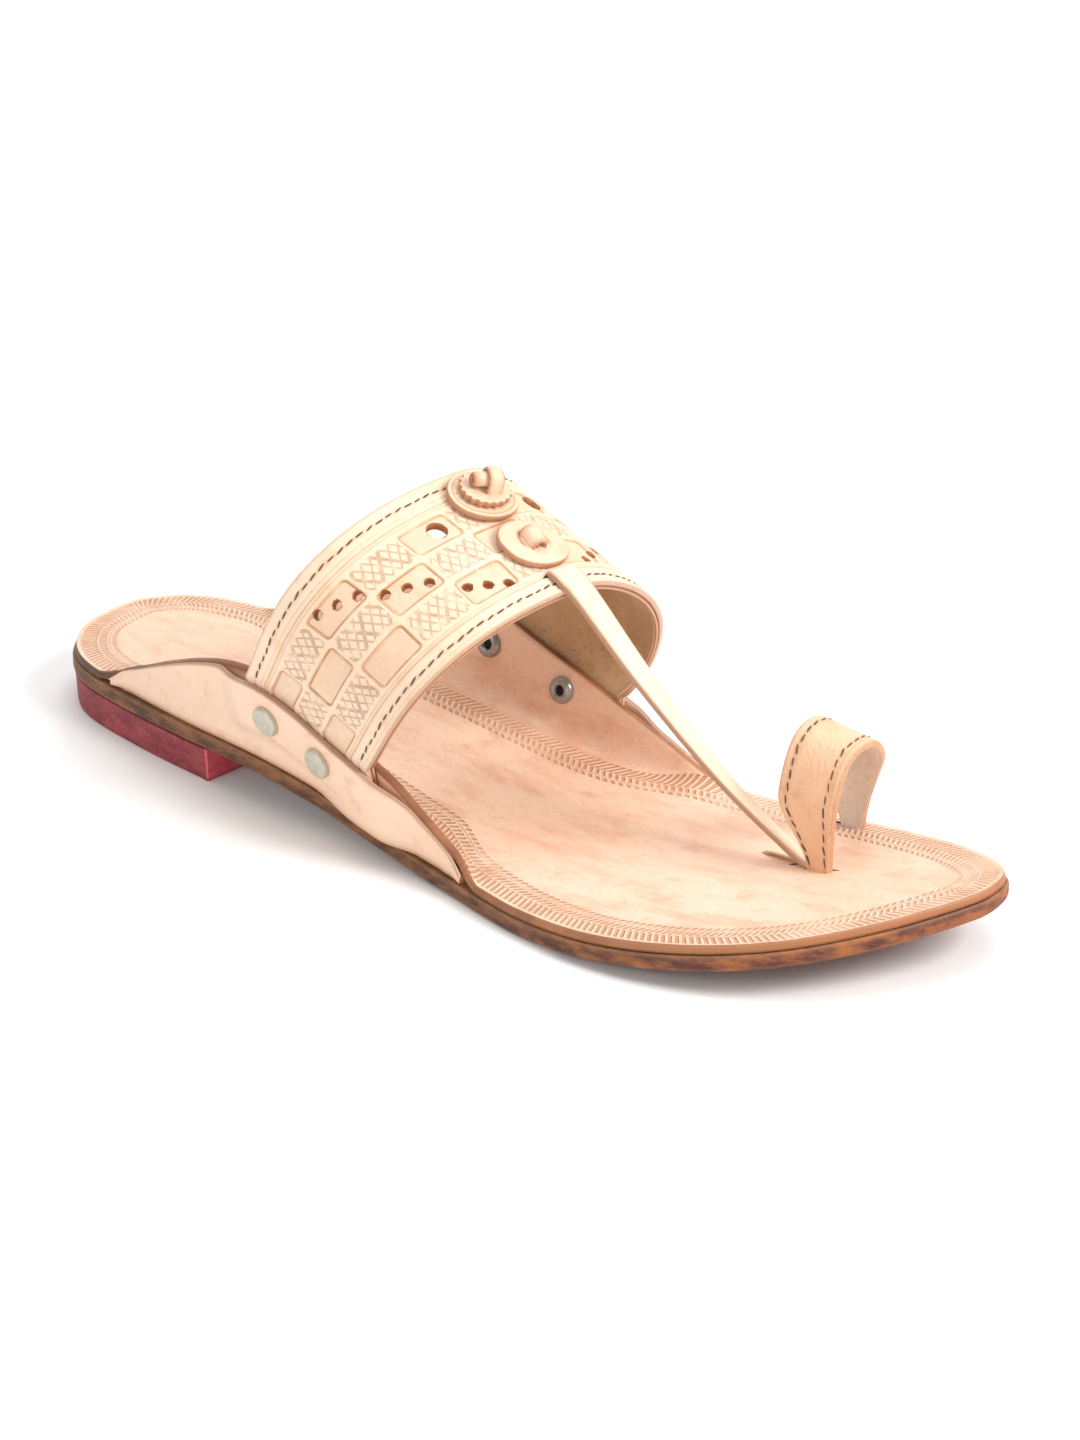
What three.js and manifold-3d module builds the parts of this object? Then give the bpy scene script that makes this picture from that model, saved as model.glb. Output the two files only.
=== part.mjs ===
// A right-foot kolhapuri sandal: a leather sole with its two sides turned up as ears, a wide
// tooled band over the instep, a thong and a big-toe loop. Millimetres, +X to the toe,
// +Y to the inner (medial) side, +Z up, floor at z = 0, origin under the heel's centre.
import * as THREE from 'three';
import { mergeVertices } from 'three/addons/utils/BufferGeometryUtils.js';
import Module from 'manifold-3d';

const wasm = await Module();
wasm.setup();

// Sole
const LENGTH = 280;
const BALL_WIDTH = 88;
const HEEL_CENTRE = 35;
const HEEL_HEIGHT = 9;
const HEEL_FRONT = 77;
const OUTSOLE_THICK = 4;
const INSOLE_THICK = 2.2;
const TOE_SPRING = 12.4;
const SPRING_FROM = 188;
const FOREFOOT_FROM = 172;
const EDGE_BEVEL = 0.8;
const INSOLE_INSET = 0.6;
const CLEAR = 0.3;
const GLUE = 0.12;

// Ears
const EAR_HEIGHT = 22.5;
const EAR_THICK = 1.8;
const EAR_LEAN = THREE.MathUtils.degToRad(13);
const FOLD_RADIUS = 4.5;
const FOLD_RUN = 4;
const EAR_ROOM = 2.0;

// Band
const BAND_THICK = 2.6;
const BAND_SINK = 12;
const BAND_REAR_TOP = 80.8;
const BAND_FRONT_TOP = 63.4;
const PUNCH = 2.6;
const EYE = 5.2;

// Thong and toe loop
const THONG_WIDTH = 8;
const THONG_THICK = 1.9;
const LOOP_WIDTH = 14.6;
const LOOP_HEIGHT = 31;
const LOOP_SPAN = 26.5;
const LOOP_THICK = 2;
const SLOT_CLEAR = 0.4;

// Buttons and rivets
const REAR_DISC = 19;
const PINKED_DISC = 13.5;
const FRONT_DISC = 17.5;
const DISC_THICK = 1.8;
const PINKS = 16;
const KNOT_RING = 2.4;
const KNOT_ROLL = 1.2;
const KNOT_STEM = 1.8;
const REAR_KNOT_LEAN = 0.75;
const FRONT_KNOT_LEAN = 0.25;
const RIVET_CAP = 7.8;
const RIVET_CAP_THICK = 1.2;
const RIVET_SHANK = 3;
const RIVET_BORE = 1.3;

// The sole's outline from the heel's back along the outer side to the toe and back along the
// inner side, as shares of the length and of the ball's width.
const OUTLINE = [
  [0, 0.046], [0.018, -0.149], [0.071, -0.293], [0.161, -0.356], [0.286, -0.394],
  [0.429, -0.407], [0.571, -0.455], [0.679, -0.517], [0.768, -0.529], [0.85, -0.471],
  [0.918, -0.35], [0.968, -0.161], [1, 0.057], [1.006, 0.184], [0.989, 0.31],
  [0.936, 0.408], [0.857, 0.46], [0.75, 0.471], [0.643, 0.454], [0.5, 0.429],
  [0.357, 0.402], [0.214, 0.373], [0.107, 0.35], [0.043, 0.293], [0.007, 0.172],
];

// Ear heights: along as shares of the length, height as shares of EAR_HEIGHT.
const EAR_OUTER = [
  [0.1, 0], [0.164, 0.267], [0.214, 0.533], [0.271, 0.8], [0.321, 0.956], [0.368, 1],
  [0.407, 0.933], [0.45, 0.8], [0.493, 0.693], [0.521, 0.6], [0.557, 0.356], [0.593, 0.142],
  [0.636, 0],
];
const EAR_INNER = [
  [0.1, 0], [0.164, 0.267], [0.214, 0.533], [0.271, 0.8], [0.329, 0.978], [0.386, 0.978],
  [0.436, 0.844], [0.493, 0.689], [0.536, 0.556], [0.579, 0.422], [0.614, 0.276],
  [0.646, 0.116], [0.682, 0],
];

// The band's rear and front edges: where its two feet and its crown lie along the sole, how far
// the crown lies to the inner side, how square each shoulder is and how far each side swells.
const BAND_REAR = {
  outer: 0.35, inner: 0.361, crown: 0.433, crownY: 8.6, top: BAND_REAR_TOP,
  outerSquare: 2.65, innerSquare: 2.43, outerSwell: 1.14, innerSwell: 1.54,
};
const BAND_FRONT = {
  outer: 0.498, inner: 0.534, crown: 0.585, crownY: 5.9, top: BAND_FRONT_TOP,
  outerSquare: 2.64, innerSquare: 1.9, outerSwell: 0.87, innerSwell: 3.0,
};
const CROWN_REACH = 0.71;
const FOOT_SHARE = 0.16;

// Punched holes of the outer half: across as a share of the band's length from its outer foot,
// along as a share of its width from its rear edge. The holes of a group lie on a slant.
const PUNCH_GROUPS = [
  { across: 0.258, along: 0.295 }, { across: 0.336, along: 0.5 }, { across: 0.424, along: 0.75 },
];
const PUNCH_STEP = { across: 0.027, along: 0.05 };
const EYES = [{ across: 0.438, along: 0.3 }];

// Rivets: along the sole as a share of the length, and below the ear's top.
const RIVETS = [
  { name: 'rivet_outer_rear', side: -1, along: 0.377, below: 7.3 },
  { name: 'rivet_outer_front', side: -1, along: 0.441, below: 7 },
  { name: 'rivet_inner_rear', side: 1, along: 0.394, below: 9 },
  { name: 'rivet_inner_front', side: 1, along: 0.479, below: 6.5 },
];

const leather = (color, roughness) => new THREE.MeshStandardMaterial({ color, roughness, metalness: 0 });
const CREAM = leather(0xf3dcbb, 0.62);
const PEACH = leather(0xecbd96, 0.6);
const BROWN = leather(0x6b4636, 0.55);
const RED = leather(0x9c3443, 0.6);
const TAN = leather(0xe0ac7e, 0.65);
const STEEL = new THREE.MeshStandardMaterial({ color: 0xb9b8a6, roughness: 0.35, metalness: 0.8 });

const lerp = THREE.MathUtils.lerp;
const smooth = (from, to, x) => THREE.MathUtils.smoothstep(x, from, to);

// A smooth closed curve through points, sampled `steps` times between each two.
function closedCurve(points, steps) {
  const curve = new THREE.CatmullRomCurve3(
    points.map(([x, y]) => new THREE.Vector3(x, y, 0)), true, 'catmullrom', 0.5);
  return curve.getPoints(points.length * steps).slice(0, -1).map((p) => [p.x, p.y]);
}

// A smooth function through rows of [x, value], level at both ends.
function through(rows) {
  const slope = rows.map((row, i) => {
    if (i === 0 || i === rows.length - 1) return 0;
    return (rows[i + 1][1] - rows[i - 1][1]) / (rows[i + 1][0] - rows[i - 1][0]);
  });
  return (x) => {
    let i = 0;
    while (i < rows.length - 2 && x > rows[i + 1][0]) i += 1;
    const run = rows[i + 1][0] - rows[i][0];
    const t = THREE.MathUtils.clamp((x - rows[i][0]) / run, 0, 1);
    const t2 = t * t;
    const t3 = t2 * t;
    return (2 * t3 - 3 * t2 + 1) * rows[i][1] + (t3 - 2 * t2 + t) * run * slope[i]
      + (3 * t2 - 2 * t3) * rows[i + 1][1] + (t3 - t2) * run * slope[i + 1];
  };
}

// The outline's two sides, as functions of the distance from the heel's back.
const outline = closedCurve(OUTLINE.map(([x, y]) => [x * LENGTH, y * BALL_WIDTH]), 12);
const heelEnd = outline.reduce((best, p, i) => (p[0] < outline[best][0] ? i : best), 0);
const fromHeel = [...outline.slice(heelEnd), ...outline.slice(0, heelEnd + 1)];
const toeEnd = fromHeel.reduce((best, p, i) => (p[0] > fromHeel[best][0] ? i : best), 0);
const outerChain = fromHeel.slice(0, toeEnd + 1);
const innerChain = fromHeel.slice(toeEnd).reverse();
const SOLE_BACK = fromHeel[0][0];
const SOLE_TIP = fromHeel[toeEnd][0];

function onChain(chain, s) {
  let i = 0;
  while (i < chain.length - 2 && s > chain[i + 1][0]) i += 1;
  const t = THREE.MathUtils.clamp((s - chain[i][0]) / (chain[i + 1][0] - chain[i][0]), 0, 1);
  return lerp(chain[i][1], chain[i + 1][1], t);
}
const edgeY = (s, side) => onChain(side < 0 ? outerChain : innerChain, s);

// Heights of the sole's layers.
function soleBottom(s) {
  const waist = HEEL_HEIGHT * (1 - smooth(HEEL_FRONT + 2, FOREFOOT_FROM, s));
  const reach = Math.max(0, (s - SPRING_FROM) / (LENGTH - SPRING_FROM));
  return waist + TOE_SPRING * reach ** 1.6;
}
const outsoleTop = (s) => soleBottom(s) + OUTSOLE_THICK;
const insoleTop = (s) => outsoleTop(s) + GLUE + INSOLE_THICK;

// The ears: the insole's edge runs level, turns up round the fold and goes on straight.
const TURN = Math.PI / 2 - EAR_LEAN;
const earRows = (rows) => through(rows.map(([x, h]) => [x * LENGTH, h * EAR_HEIGHT]));
const earOuter = earRows(EAR_OUTER);
const earInner = earRows(EAR_INNER);
const earHeight = (s, side) => Math.max(0, (side < 0 ? earOuter : earInner)(s));

function upturn(s, side) {
  const h = earHeight(s, side);
  const rise = FOLD_RADIUS * (1 - Math.cos(TURN));
  if (h < rise) return Math.max(1.2, FOLD_RADIUS * Math.acos(1 - h / FOLD_RADIUS));
  return FOLD_RADIUS * TURN + (h - rise) / Math.sin(TURN);
}

// A point of the turned-up edge: `run` along the leather from the level part, `off` outward
// from the inner face. Gives [across, up] from where the level part starts.
function edgePath(run, off) {
  if (run < FOLD_RUN) return [run, -off];
  const angle = Math.min((run - FOLD_RUN) / FOLD_RADIUS, TURN);
  const straight = run - FOLD_RUN - FOLD_RADIUS * angle;
  return [
    FOLD_RUN + (FOLD_RADIUS + off) * Math.sin(angle) + straight * Math.cos(angle),
    FOLD_RADIUS - (FOLD_RADIUS + off) * Math.cos(angle) + straight * Math.sin(angle),
  ];
}

// Distance of a point of the turned-up edge from the outline, so that the fold stays inside it.
// Near the rounded ends, where the sole is narrow, distances shrink with its width.
const NARROW = 9;
function inside(s, side, across) {
  const room = INSOLE_INSET + EAR_ROOM * smooth(0, 4, earHeight(s, side));
  const full = FOLD_RUN + Math.min(upturn(s, side), FOLD_RADIUS * TURN + 2);
  const half = (edgeY(s, 1) - edgeY(s, -1)) / 2;
  const distance = room + edgePath(full, INSOLE_THICK)[0] - across;
  return edgeY(s, side) - side * distance * Math.min(1, half / NARROW);
}

function earPoint(s, side, run, off) {
  const [across, up] = edgePath(run, off);
  return [inside(s, side, across), insoleTop(s) + up];
}

// The straight part of the ear's face at height z.
function earFace(s, side, z, off) {
  const [across, up] = edgePath(FOLD_RUN + FOLD_RADIUS * TURN, off);
  const rise = z - insoleTop(s) - up;
  return inside(s, side, across + rise / Math.tan(TURN));
}
const earTop = (s, side) => insoleTop(s) + earHeight(s, side);

// One arch of the band, at v from its rear edge (0) to its front edge (1): t runs from the outer
// foot (0) over the crown (0.5) to the inner foot (1).
function archPoint(t, v) {
  const side = t < 0.5 ? -1 : 1;
  const key = side < 0 ? 'outer' : 'inner';
  const mix = (name) => lerp(BAND_REAR[name], BAND_FRONT[name], v);
  const footS = mix(key) * LENGTH;
  const share = 1 - Math.abs(2 * t - 1);
  const ride = INSOLE_THICK + CLEAR + BAND_THICK / 2;
  const top = earTop(footS, side);
  if (share < FOOT_SHARE) {
    const sink = Math.min(BAND_SINK, earHeight(footS, side) - FOLD_RADIUS - 0.5);
    const z = top - sink * (1 - share / FOOT_SHARE);
    return new THREE.Vector3(footS, earFace(footS, side, z, ride), z);
  }
  const turn = ((share - FOOT_SHARE) / (1 - FOOT_SHARE)) * (Math.PI / 2);
  const footY = earFace(footS, side, top, ride);
  const rise = mix('top') - BAND_THICK / 2 - top;
  const square = mix(`${key}Square`);
  const swell = rise * Math.tan(EAR_LEAN) * mix(`${key}Swell`);
  const cosine = Math.max(0, Math.cos(turn));
  const y = mix('crownY') + (footY - mix('crownY')) * cosine ** (2 / square)
    + side * swell * 0.5 * Math.sin(2 * turn) * (1 - turn / (Math.PI / 2));
  const z = top + rise * Math.sin(turn) ** (2 / square);
  const s = footS + (mix('crown') * LENGTH - footS) * Math.sin(turn) ** CROWN_REACH;
  return new THREE.Vector3(s, y, z);
}

// The band's middle surface, u being the share of the arch's length from the outer foot.
const ARCH_STEPS = 240;
const arches = new Map();
function archAt(v) {
  if (!arches.has(v)) {
    const points = Array.from({ length: ARCH_STEPS + 1 }, (_, i) => archPoint(i / ARCH_STEPS, v));
    const lengths = [0];
    points.slice(1).forEach((p, i) => lengths.push(lengths[i] + p.distanceTo(points[i])));
    arches.set(v, { points, lengths, total: lengths[ARCH_STEPS] });
  }
  return arches.get(v);
}
function bandMiddle(u, v) {
  const { points, lengths, total } = archAt(v);
  let low = 0;
  let high = ARCH_STEPS;
  while (high - low > 1) {
    const middle = (low + high) >> 1;
    if (lengths[middle] <= u * total) low = middle;
    else high = middle;
  }
  const t = (u * total - lengths[low]) / (lengths[high] - lengths[low]);
  return points[low].clone().lerp(points[high], t);
}
const crownShare = (v) => archAt(v).lengths[ARCH_STEPS / 2] / archAt(v).total;

const STEP = 0.012;
function bandNormal(u, v) {
  const clampU = (x) => THREE.MathUtils.clamp(x, 0, 1);
  const du = bandMiddle(clampU(u + STEP), v).sub(bandMiddle(clampU(u - STEP), v));
  const dv = bandMiddle(u, v + STEP).sub(bandMiddle(u, v - STEP));
  return dv.cross(du).normalize();
}
const bandPoint = (u, v, off) => bandMiddle(u, v).addScaledVector(bandNormal(u, v), off);

// A geometry with shared corners merged and its empty triangles left out.
function welded(geometry) {
  const bare = new THREE.BufferGeometry();
  bare.setAttribute('position', geometry.getAttribute('position').clone());
  if (geometry.index) bare.setIndex(geometry.index.clone());
  const merged = mergeVertices(bare, 1e-4);
  const index = [];
  for (let i = 0; i < merged.index.count; i += 3) {
    const [a, b, c] = [0, 1, 2].map((k) => merged.index.getX(i + k));
    if (a !== b && b !== c && c !== a) index.push(a, b, c);
  }
  merged.setIndex(index);
  return merged;
}

// Solids from grids.
const place = ([s, y, z]) => [s - HEEL_CENTRE, y, z];

function solid(vertices, faces) {
  const geometry = new THREE.BufferGeometry();
  geometry.setAttribute('position', new THREE.Float32BufferAttribute(vertices.flat(), 3));
  geometry.setIndex(faces.flat());
  let volume = 0;
  faces.forEach(([a, b, c]) => {
    const [p, q, r] = [a, b, c].map((i) => new THREE.Vector3(...vertices[i]));
    volume += p.dot(q.cross(r));
  });
  if (volume < 0) geometry.setIndex(faces.map(([a, b, c]) => [a, c, b]).flat());
  return welded(geometry);
}

// Joins rings of [s, y, z] points, each ring lying across the sole.
function loft(rings) {
  const count = rings[0].length;
  const faces = [];
  for (let i = 0; i < rings.length - 1; i += 1) {
    for (let j = 0; j < count; j += 1) {
      const a = i * count + j;
      const b = i * count + ((j + 1) % count);
      faces.push([a, b, b + count], [a, b + count, a + count]);
    }
  }
  [0, rings.length - 1].forEach((i) => {
    const flat = rings[i].map(([, y, z]) => new THREE.Vector2(y, z));
    const ringArea = THREE.ShapeUtils.area(flat);
    THREE.ShapeUtils.triangulateShape(flat, []).forEach((corners) => {
      const area = THREE.ShapeUtils.area(corners.map((k) => flat[k]));
      const face = corners.map((k) => i * count + k);
      const withRing = Math.sign(area) === Math.sign(ringArea);
      faces.push(withRing === (i === 0) ? face.reverse() : face);
    });
  });
  return solid(rings.flat().map(place), faces);
}

// A sheet of leather: point(u, v, off) with off from -half to +half of its thickness.
function sheet(point, thick, countU, countV) {
  const vertices = [];
  [thick / 2, -thick / 2].forEach((off) => {
    for (let i = 0; i <= countU; i += 1) {
      for (let j = 0; j <= countV; j += 1) {
        const p = point(i / countU, j / countV, off);
        vertices.push(place([p.x, p.y, p.z]));
      }
    }
  });
  const row = countV + 1;
  const back = (countU + 1) * row;
  const faces = [];
  for (let i = 0; i < countU; i += 1) {
    for (let j = 0; j < countV; j += 1) {
      const a = i * row + j;
      faces.push([a, a + row, a + row + 1], [a, a + row + 1, a + 1]);
      faces.push([a + back, a + row + 1 + back, a + row + back]);
      faces.push([a + back, a + 1 + back, a + row + 1 + back]);
    }
  }
  const rim = [];
  for (let i = 0; i < countU; i += 1) rim.push(i * row);
  for (let j = 0; j < countV; j += 1) rim.push(countU * row + j);
  for (let i = countU; i > 0; i -= 1) rim.push(i * row + countV);
  for (let j = countV; j > 0; j -= 1) rim.push(j);
  rim.forEach((a, i) => {
    const b = rim[(i + 1) % rim.length];
    faces.push([a, b + back, b], [a, a + back, b + back]);
  });
  return solid(vertices, faces);
}

// Joining and cutting.
function toManifold(geometry) {
  const merged = welded(geometry);
  return new wasm.Manifold(new wasm.Mesh({
    numProp: 3,
    vertProperties: new Float32Array(merged.getAttribute('position').array),
    triVerts: new Uint32Array(merged.index.array),
  }));
}
function fromManifold(body) {
  const { vertProperties, triVerts } = body.getMesh();
  const geometry = new THREE.BufferGeometry();
  geometry.setAttribute('position', new THREE.Float32BufferAttribute(vertProperties, 3));
  geometry.setIndex(Array.from(triVerts));
  return geometry;
}
const join = (bodies) => bodies.reduce((sum, body) => sum.add(body));
const cut = (geometry, tools) => fromManifold(
  tools.reduce((left, tool) => left.subtract(toManifold(tool)), toManifold(geometry)));

const group = new THREE.Group();
function add(name, geometry, material) {
  geometry.computeVertexNormals();
  const mesh = new THREE.Mesh(geometry, material);
  mesh.name = name;
  group.add(mesh);
}

// Stations along the sole, closer together at its rounded ends, with one at each end of the
// forefoot's flat spot and of the outer ears. Every layer uses the same ones, so that the
// layers' faces run alongside each other.
const ENDS = 0.25;
const STATIONS = 43;
const STATION_ROOM = 1.5;
const ROUNDING = 0.7;
const evenStations = Array.from({ length: STATIONS + 1 }, (_, i) => {
  const t = i / STATIONS;
  const eased = 0.5 - 0.5 * Math.cos(Math.PI * t);
  return lerp(SOLE_BACK + ENDS, SOLE_TIP - ENDS, lerp(t, eased, ROUNDING));
});
const OUTER_EAR = { rear: 0.128, lateral: 0.606, medial: 0.655 };
const keyStations = [FOREFOOT_FROM, SPRING_FROM, ...Object.values(OUTER_EAR).map((x) => x * LENGTH)];
const soleStations = [
  ...evenStations.filter((s) => keyStations.every((key) => Math.abs(key - s) > STATION_ROOM)),
  ...keyStations,
].sort((a, b) => a - b);
const between = (from, to) => [from, ...soleStations.filter((s) => s > from + 0.2 && s < to - 0.2), to];

// Outsole and heel
const outsoleRing = (s) => {
  const outer = edgeY(s, -1);
  const inner = edgeY(s, 1);
  const bevel = Math.min(EDGE_BEVEL, (inner - outer) / 4);
  const low = soleBottom(s);
  const high = outsoleTop(s);
  return [
    [s, outer + bevel, low], [s, inner - bevel, low], [s, inner, low + bevel],
    [s, inner, high - bevel / 2], [s, inner - bevel / 2, high], [s, outer + bevel / 2, high],
    [s, outer, high - bevel / 2], [s, outer, low + bevel],
  ];
};
add('outsole', loft(soleStations.map(outsoleRing)), BROWN);
const HEEL_TAPER = 0.6;
const heelRing = (s) => {
  const outer = edgeY(s, -1);
  const inner = edgeY(s, 1);
  const taper = Math.min(HEEL_TAPER, (inner - outer) / 4);
  const high = HEEL_HEIGHT - GLUE;
  return [
    [s, outer + taper, 0], [s, inner - taper, 0],
    [s, inner - taper / 4, high], [s, outer + taper / 4, high],
  ];
};
add('heel_block', loft(between(SOLE_BACK + ENDS + HEEL_TAPER, HEEL_FRONT).map(heelRing)), RED);

// Insole with the inner ears turned up
const EVEN = [0.2, 0.4, 0.6, 0.8, 1];
const FOLDED = [0.08, 0.16, 0.24, 0.62, 1];
function insoleSide(s, side, off) {
  const extra = upturn(s, side);
  const folded = smooth(4, 14, extra);
  const runs = [0, FOLD_RUN, ...EVEN.map((e, i) => FOLD_RUN + extra * lerp(e, FOLDED[i], folded))];
  return runs.map((run) => [s, ...earPoint(s, side, run, off)]);
}
function insoleRing(s) {
  const middle = (edgeY(s, -1) + edgeY(s, 1)) / 2;
  return [
    ...insoleSide(s, -1, 0).reverse(), [s, middle, insoleTop(s)], ...insoleSide(s, 1, 0),
    ...insoleSide(s, 1, INSOLE_THICK).reverse(), [s, middle, outsoleTop(s) + GLUE],
    ...insoleSide(s, -1, INSOLE_THICK),
  ];
}
const insoleBlank = loft(
  between(SOLE_BACK + ENDS + INSOLE_INSET, SOLE_TIP - ENDS - INSOLE_INSET).map(insoleRing));

// Outer ears: outside the inner ears, with the band's foot between them
const EAR_LOW_TURN = 0.47;
const bandRange = (side) => {
  const key = side < 0 ? 'outer' : 'inner';
  return [BAND_REAR[key] * LENGTH, BAND_FRONT[key] * LENGTH];
};
function earGap(s, side, below) {
  const [rear, front] = bandRange(side);
  const along = smooth(rear - 14, rear - 2, s) * (1 - smooth(front + 2, front + 14, s));
  const high = 1 - smooth(BAND_SINK + 1, BAND_SINK + 6, below);
  return INSOLE_THICK + CLEAR + (BAND_THICK + CLEAR) * along * high;
}
function outerEarRing(s, side) {
  const end = FOLD_RUN + upturn(s, side);
  const low = FOLD_RUN + FOLD_RADIUS * EAR_LOW_TURN;
  const level = FOLD_RUN + Math.min(upturn(s, side) * 0.9, FOLD_RADIUS * TURN);
  const runs = [0, 0.25, 0.5, 0.75, 1].map((t) => lerp(level, end, t));
  const face = (run, extra) => [s, ...earPoint(s, side, run, earGap(s, side, end - run) + extra)];
  const outer = runs.map((run) => face(run, EAR_THICK)).reverse();
  const foot = outsoleTop(s) + GLUE;
  const bend = [0, 0.33, 0.67].map((t) => face(lerp(low, level, t), 0));
  return [...bend, ...runs.map((run) => face(run, 0)), ...outer,
    [s, outer[outer.length - 1][1], foot], [s, face(low, 0)[1], foot]];
}
function outerEar(side) {
  const front = side < 0 ? OUTER_EAR.lateral : OUTER_EAR.medial;
  const stations = between(OUTER_EAR.rear * LENGTH, front * LENGTH);
  return loft(stations.map((s) => outerEarRing(s, side)));
}

// Rivets through both ears and the band
function rivetAxis({ side, along, below }) {
  const s = along * LENGTH;
  const z = earTop(s, side) - below;
  const layers = INSOLE_THICK + CLEAR + BAND_THICK + CLEAR + EAR_THICK;
  const [start] = place([s, 0, 0]);
  const from = new THREE.Vector3(start, earFace(s, side, z, 0), z);
  const ahead = new THREE.Vector3(4, earFace(s + 2, side, z, 0) - earFace(s - 2, side, z, 0), 0);
  const up = new THREE.Vector3(0, side * Math.cos(TURN), Math.sin(TURN));
  const out = ahead.cross(up).normalize();
  if (out.y * side < 0) out.negate();
  return { from, out, layers };
}
function turned(profile, segments, { from, out }) {
  const geometry = new THREE.LatheGeometry(profile.map(([r, h]) => new THREE.Vector2(r, h)), segments);
  geometry.applyQuaternion(new THREE.Quaternion().setFromUnitVectors(new THREE.Vector3(0, 1, 0), out));
  geometry.translate(from.x, from.y, from.z);
  return welded(geometry);
}
const RIVET_SIDES = 12;
const RIVET_SEAT = 0.35;
function rivet(spec) {
  const axis = rivetAxis(spec);
  const { layers } = axis;
  const shank = RIVET_SHANK / 2;
  const cap = RIVET_CAP / 2;
  const high = layers + RIVET_SEAT;
  const low = -RIVET_SEAT;
  const profile = [
    [0, low + 0.4], [RIVET_BORE, low + 0.4], [RIVET_BORE, low - RIVET_CAP_THICK * 0.8],
    [cap * 0.62, low - RIVET_CAP_THICK], [cap * 0.88, low - RIVET_CAP_THICK * 0.5],
    [cap * 0.88, low], [shank, low], [shank, high], [cap, high],
    [cap, high + RIVET_CAP_THICK * 0.5], [cap * 0.8, high + RIVET_CAP_THICK],
    [0, high + RIVET_CAP_THICK],
  ];
  return turned(profile, RIVET_SIDES, axis);
}
function rivetHole(spec) {
  const axis = rivetAxis(spec);
  const r = RIVET_SHANK / 2 + CLEAR;
  return turned([[0, -6], [r, -6], [r, axis.layers + 6], [0, axis.layers + 6]], 10, axis);
}
RIVETS.forEach((spec) => add(spec.name, rivet(spec), STEEL));
const holesOn = (side) => RIVETS.filter((spec) => spec.side === side).map(rivetHole);
add('ear_lateral', cut(outerEar(-1), holesOn(-1)), PEACH);
add('ear_medial', cut(outerEar(1), holesOn(1)), PEACH);

// Band with its punched holes
const BAND_COLUMNS = 40;
const BAND_ROWS = 6;
const bandBlank = sheet(bandPoint, BAND_THICK, BAND_COLUMNS, BAND_ROWS);
function bandHole(u, v, width) {
  const p = bandMiddle(u, v);
  const [x] = place([p.x, 0, 0]);
  const out = bandNormal(u, v);
  const from = new THREE.Vector3(x, p.y, p.z);
  const r = width / 2;
  return turned([[0, -5], [r, -5], [r, 5], [0, 5]], 8, { from, out });
}
const mirrored = ({ across, along }) => ({ across: 2 * crownShare(along) - across, along });
const bothHalves = (list) => [...list, ...list.map(mirrored)];
const punchPlaces = PUNCH_GROUPS.flatMap(({ across, along }) => [-1, 0, 1].map(
  (k) => ({ across: across + k * PUNCH_STEP.across, along: along + k * PUNCH_STEP.along })));
const punches = bothHalves(punchPlaces).map(({ across, along }) => bandHole(across, along, PUNCH));
const eyes = bothHalves(EYES).map(({ across, along }) => bandHole(across, along, EYE));

// Thong: out of the band's crown, over its front edge and down to the loop's outer foot
const THONG_START = 0.885;
const THONG_FOOT = { along: 0.851, y: 10.2 };
const FOOT_LIFT = 0.6;
const crownEdge = bandPoint(crownShare(1), 1, BAND_THICK / 2);
const thongStart = bandPoint(crownShare(THONG_START), THONG_START, BAND_THICK / 2);
const footS = THONG_FOOT.along * LENGTH;
const thongEnd = new THREE.Vector3(footS, THONG_FOOT.y, outsoleTop(footS) + FOOT_LIFT + THONG_THICK / 2);
const THONG_SAG = 2.5;
const lift = new THREE.Vector3(0, 0, THONG_THICK / 2 - 0.35);
const thongLine = new THREE.CatmullRomCurve3([
  thongStart.clone().add(lift),
  crownEdge.clone().add(lift),
  crownEdge.clone().add(lift).lerp(thongEnd, 0.3).add(new THREE.Vector3(0, 0, -THONG_SAG * 0.8)),
  crownEdge.clone().add(lift).lerp(thongEnd, 0.65).add(new THREE.Vector3(0, 0, -THONG_SAG)),
  thongEnd,
], false, 'centripetal');
const THONG_NARROW = 0.62;
function thongPoint(u, v, off) {
  const p = thongLine.getPointAt(u);
  const along = thongLine.getTangentAt(u);
  const across = new THREE.Vector3(0, 1, 0).addScaledVector(along, -along.y).normalize();
  const up = along.clone().cross(across).normalize();
  const width = THONG_WIDTH * lerp(1, THONG_NARROW, smooth(0.55, 1, u));
  return p.addScaledVector(across, (v - 0.5) * width).addScaledVector(up, off);
}
const thong = sheet(thongPoint, THONG_THICK, 16, 2);

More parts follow.
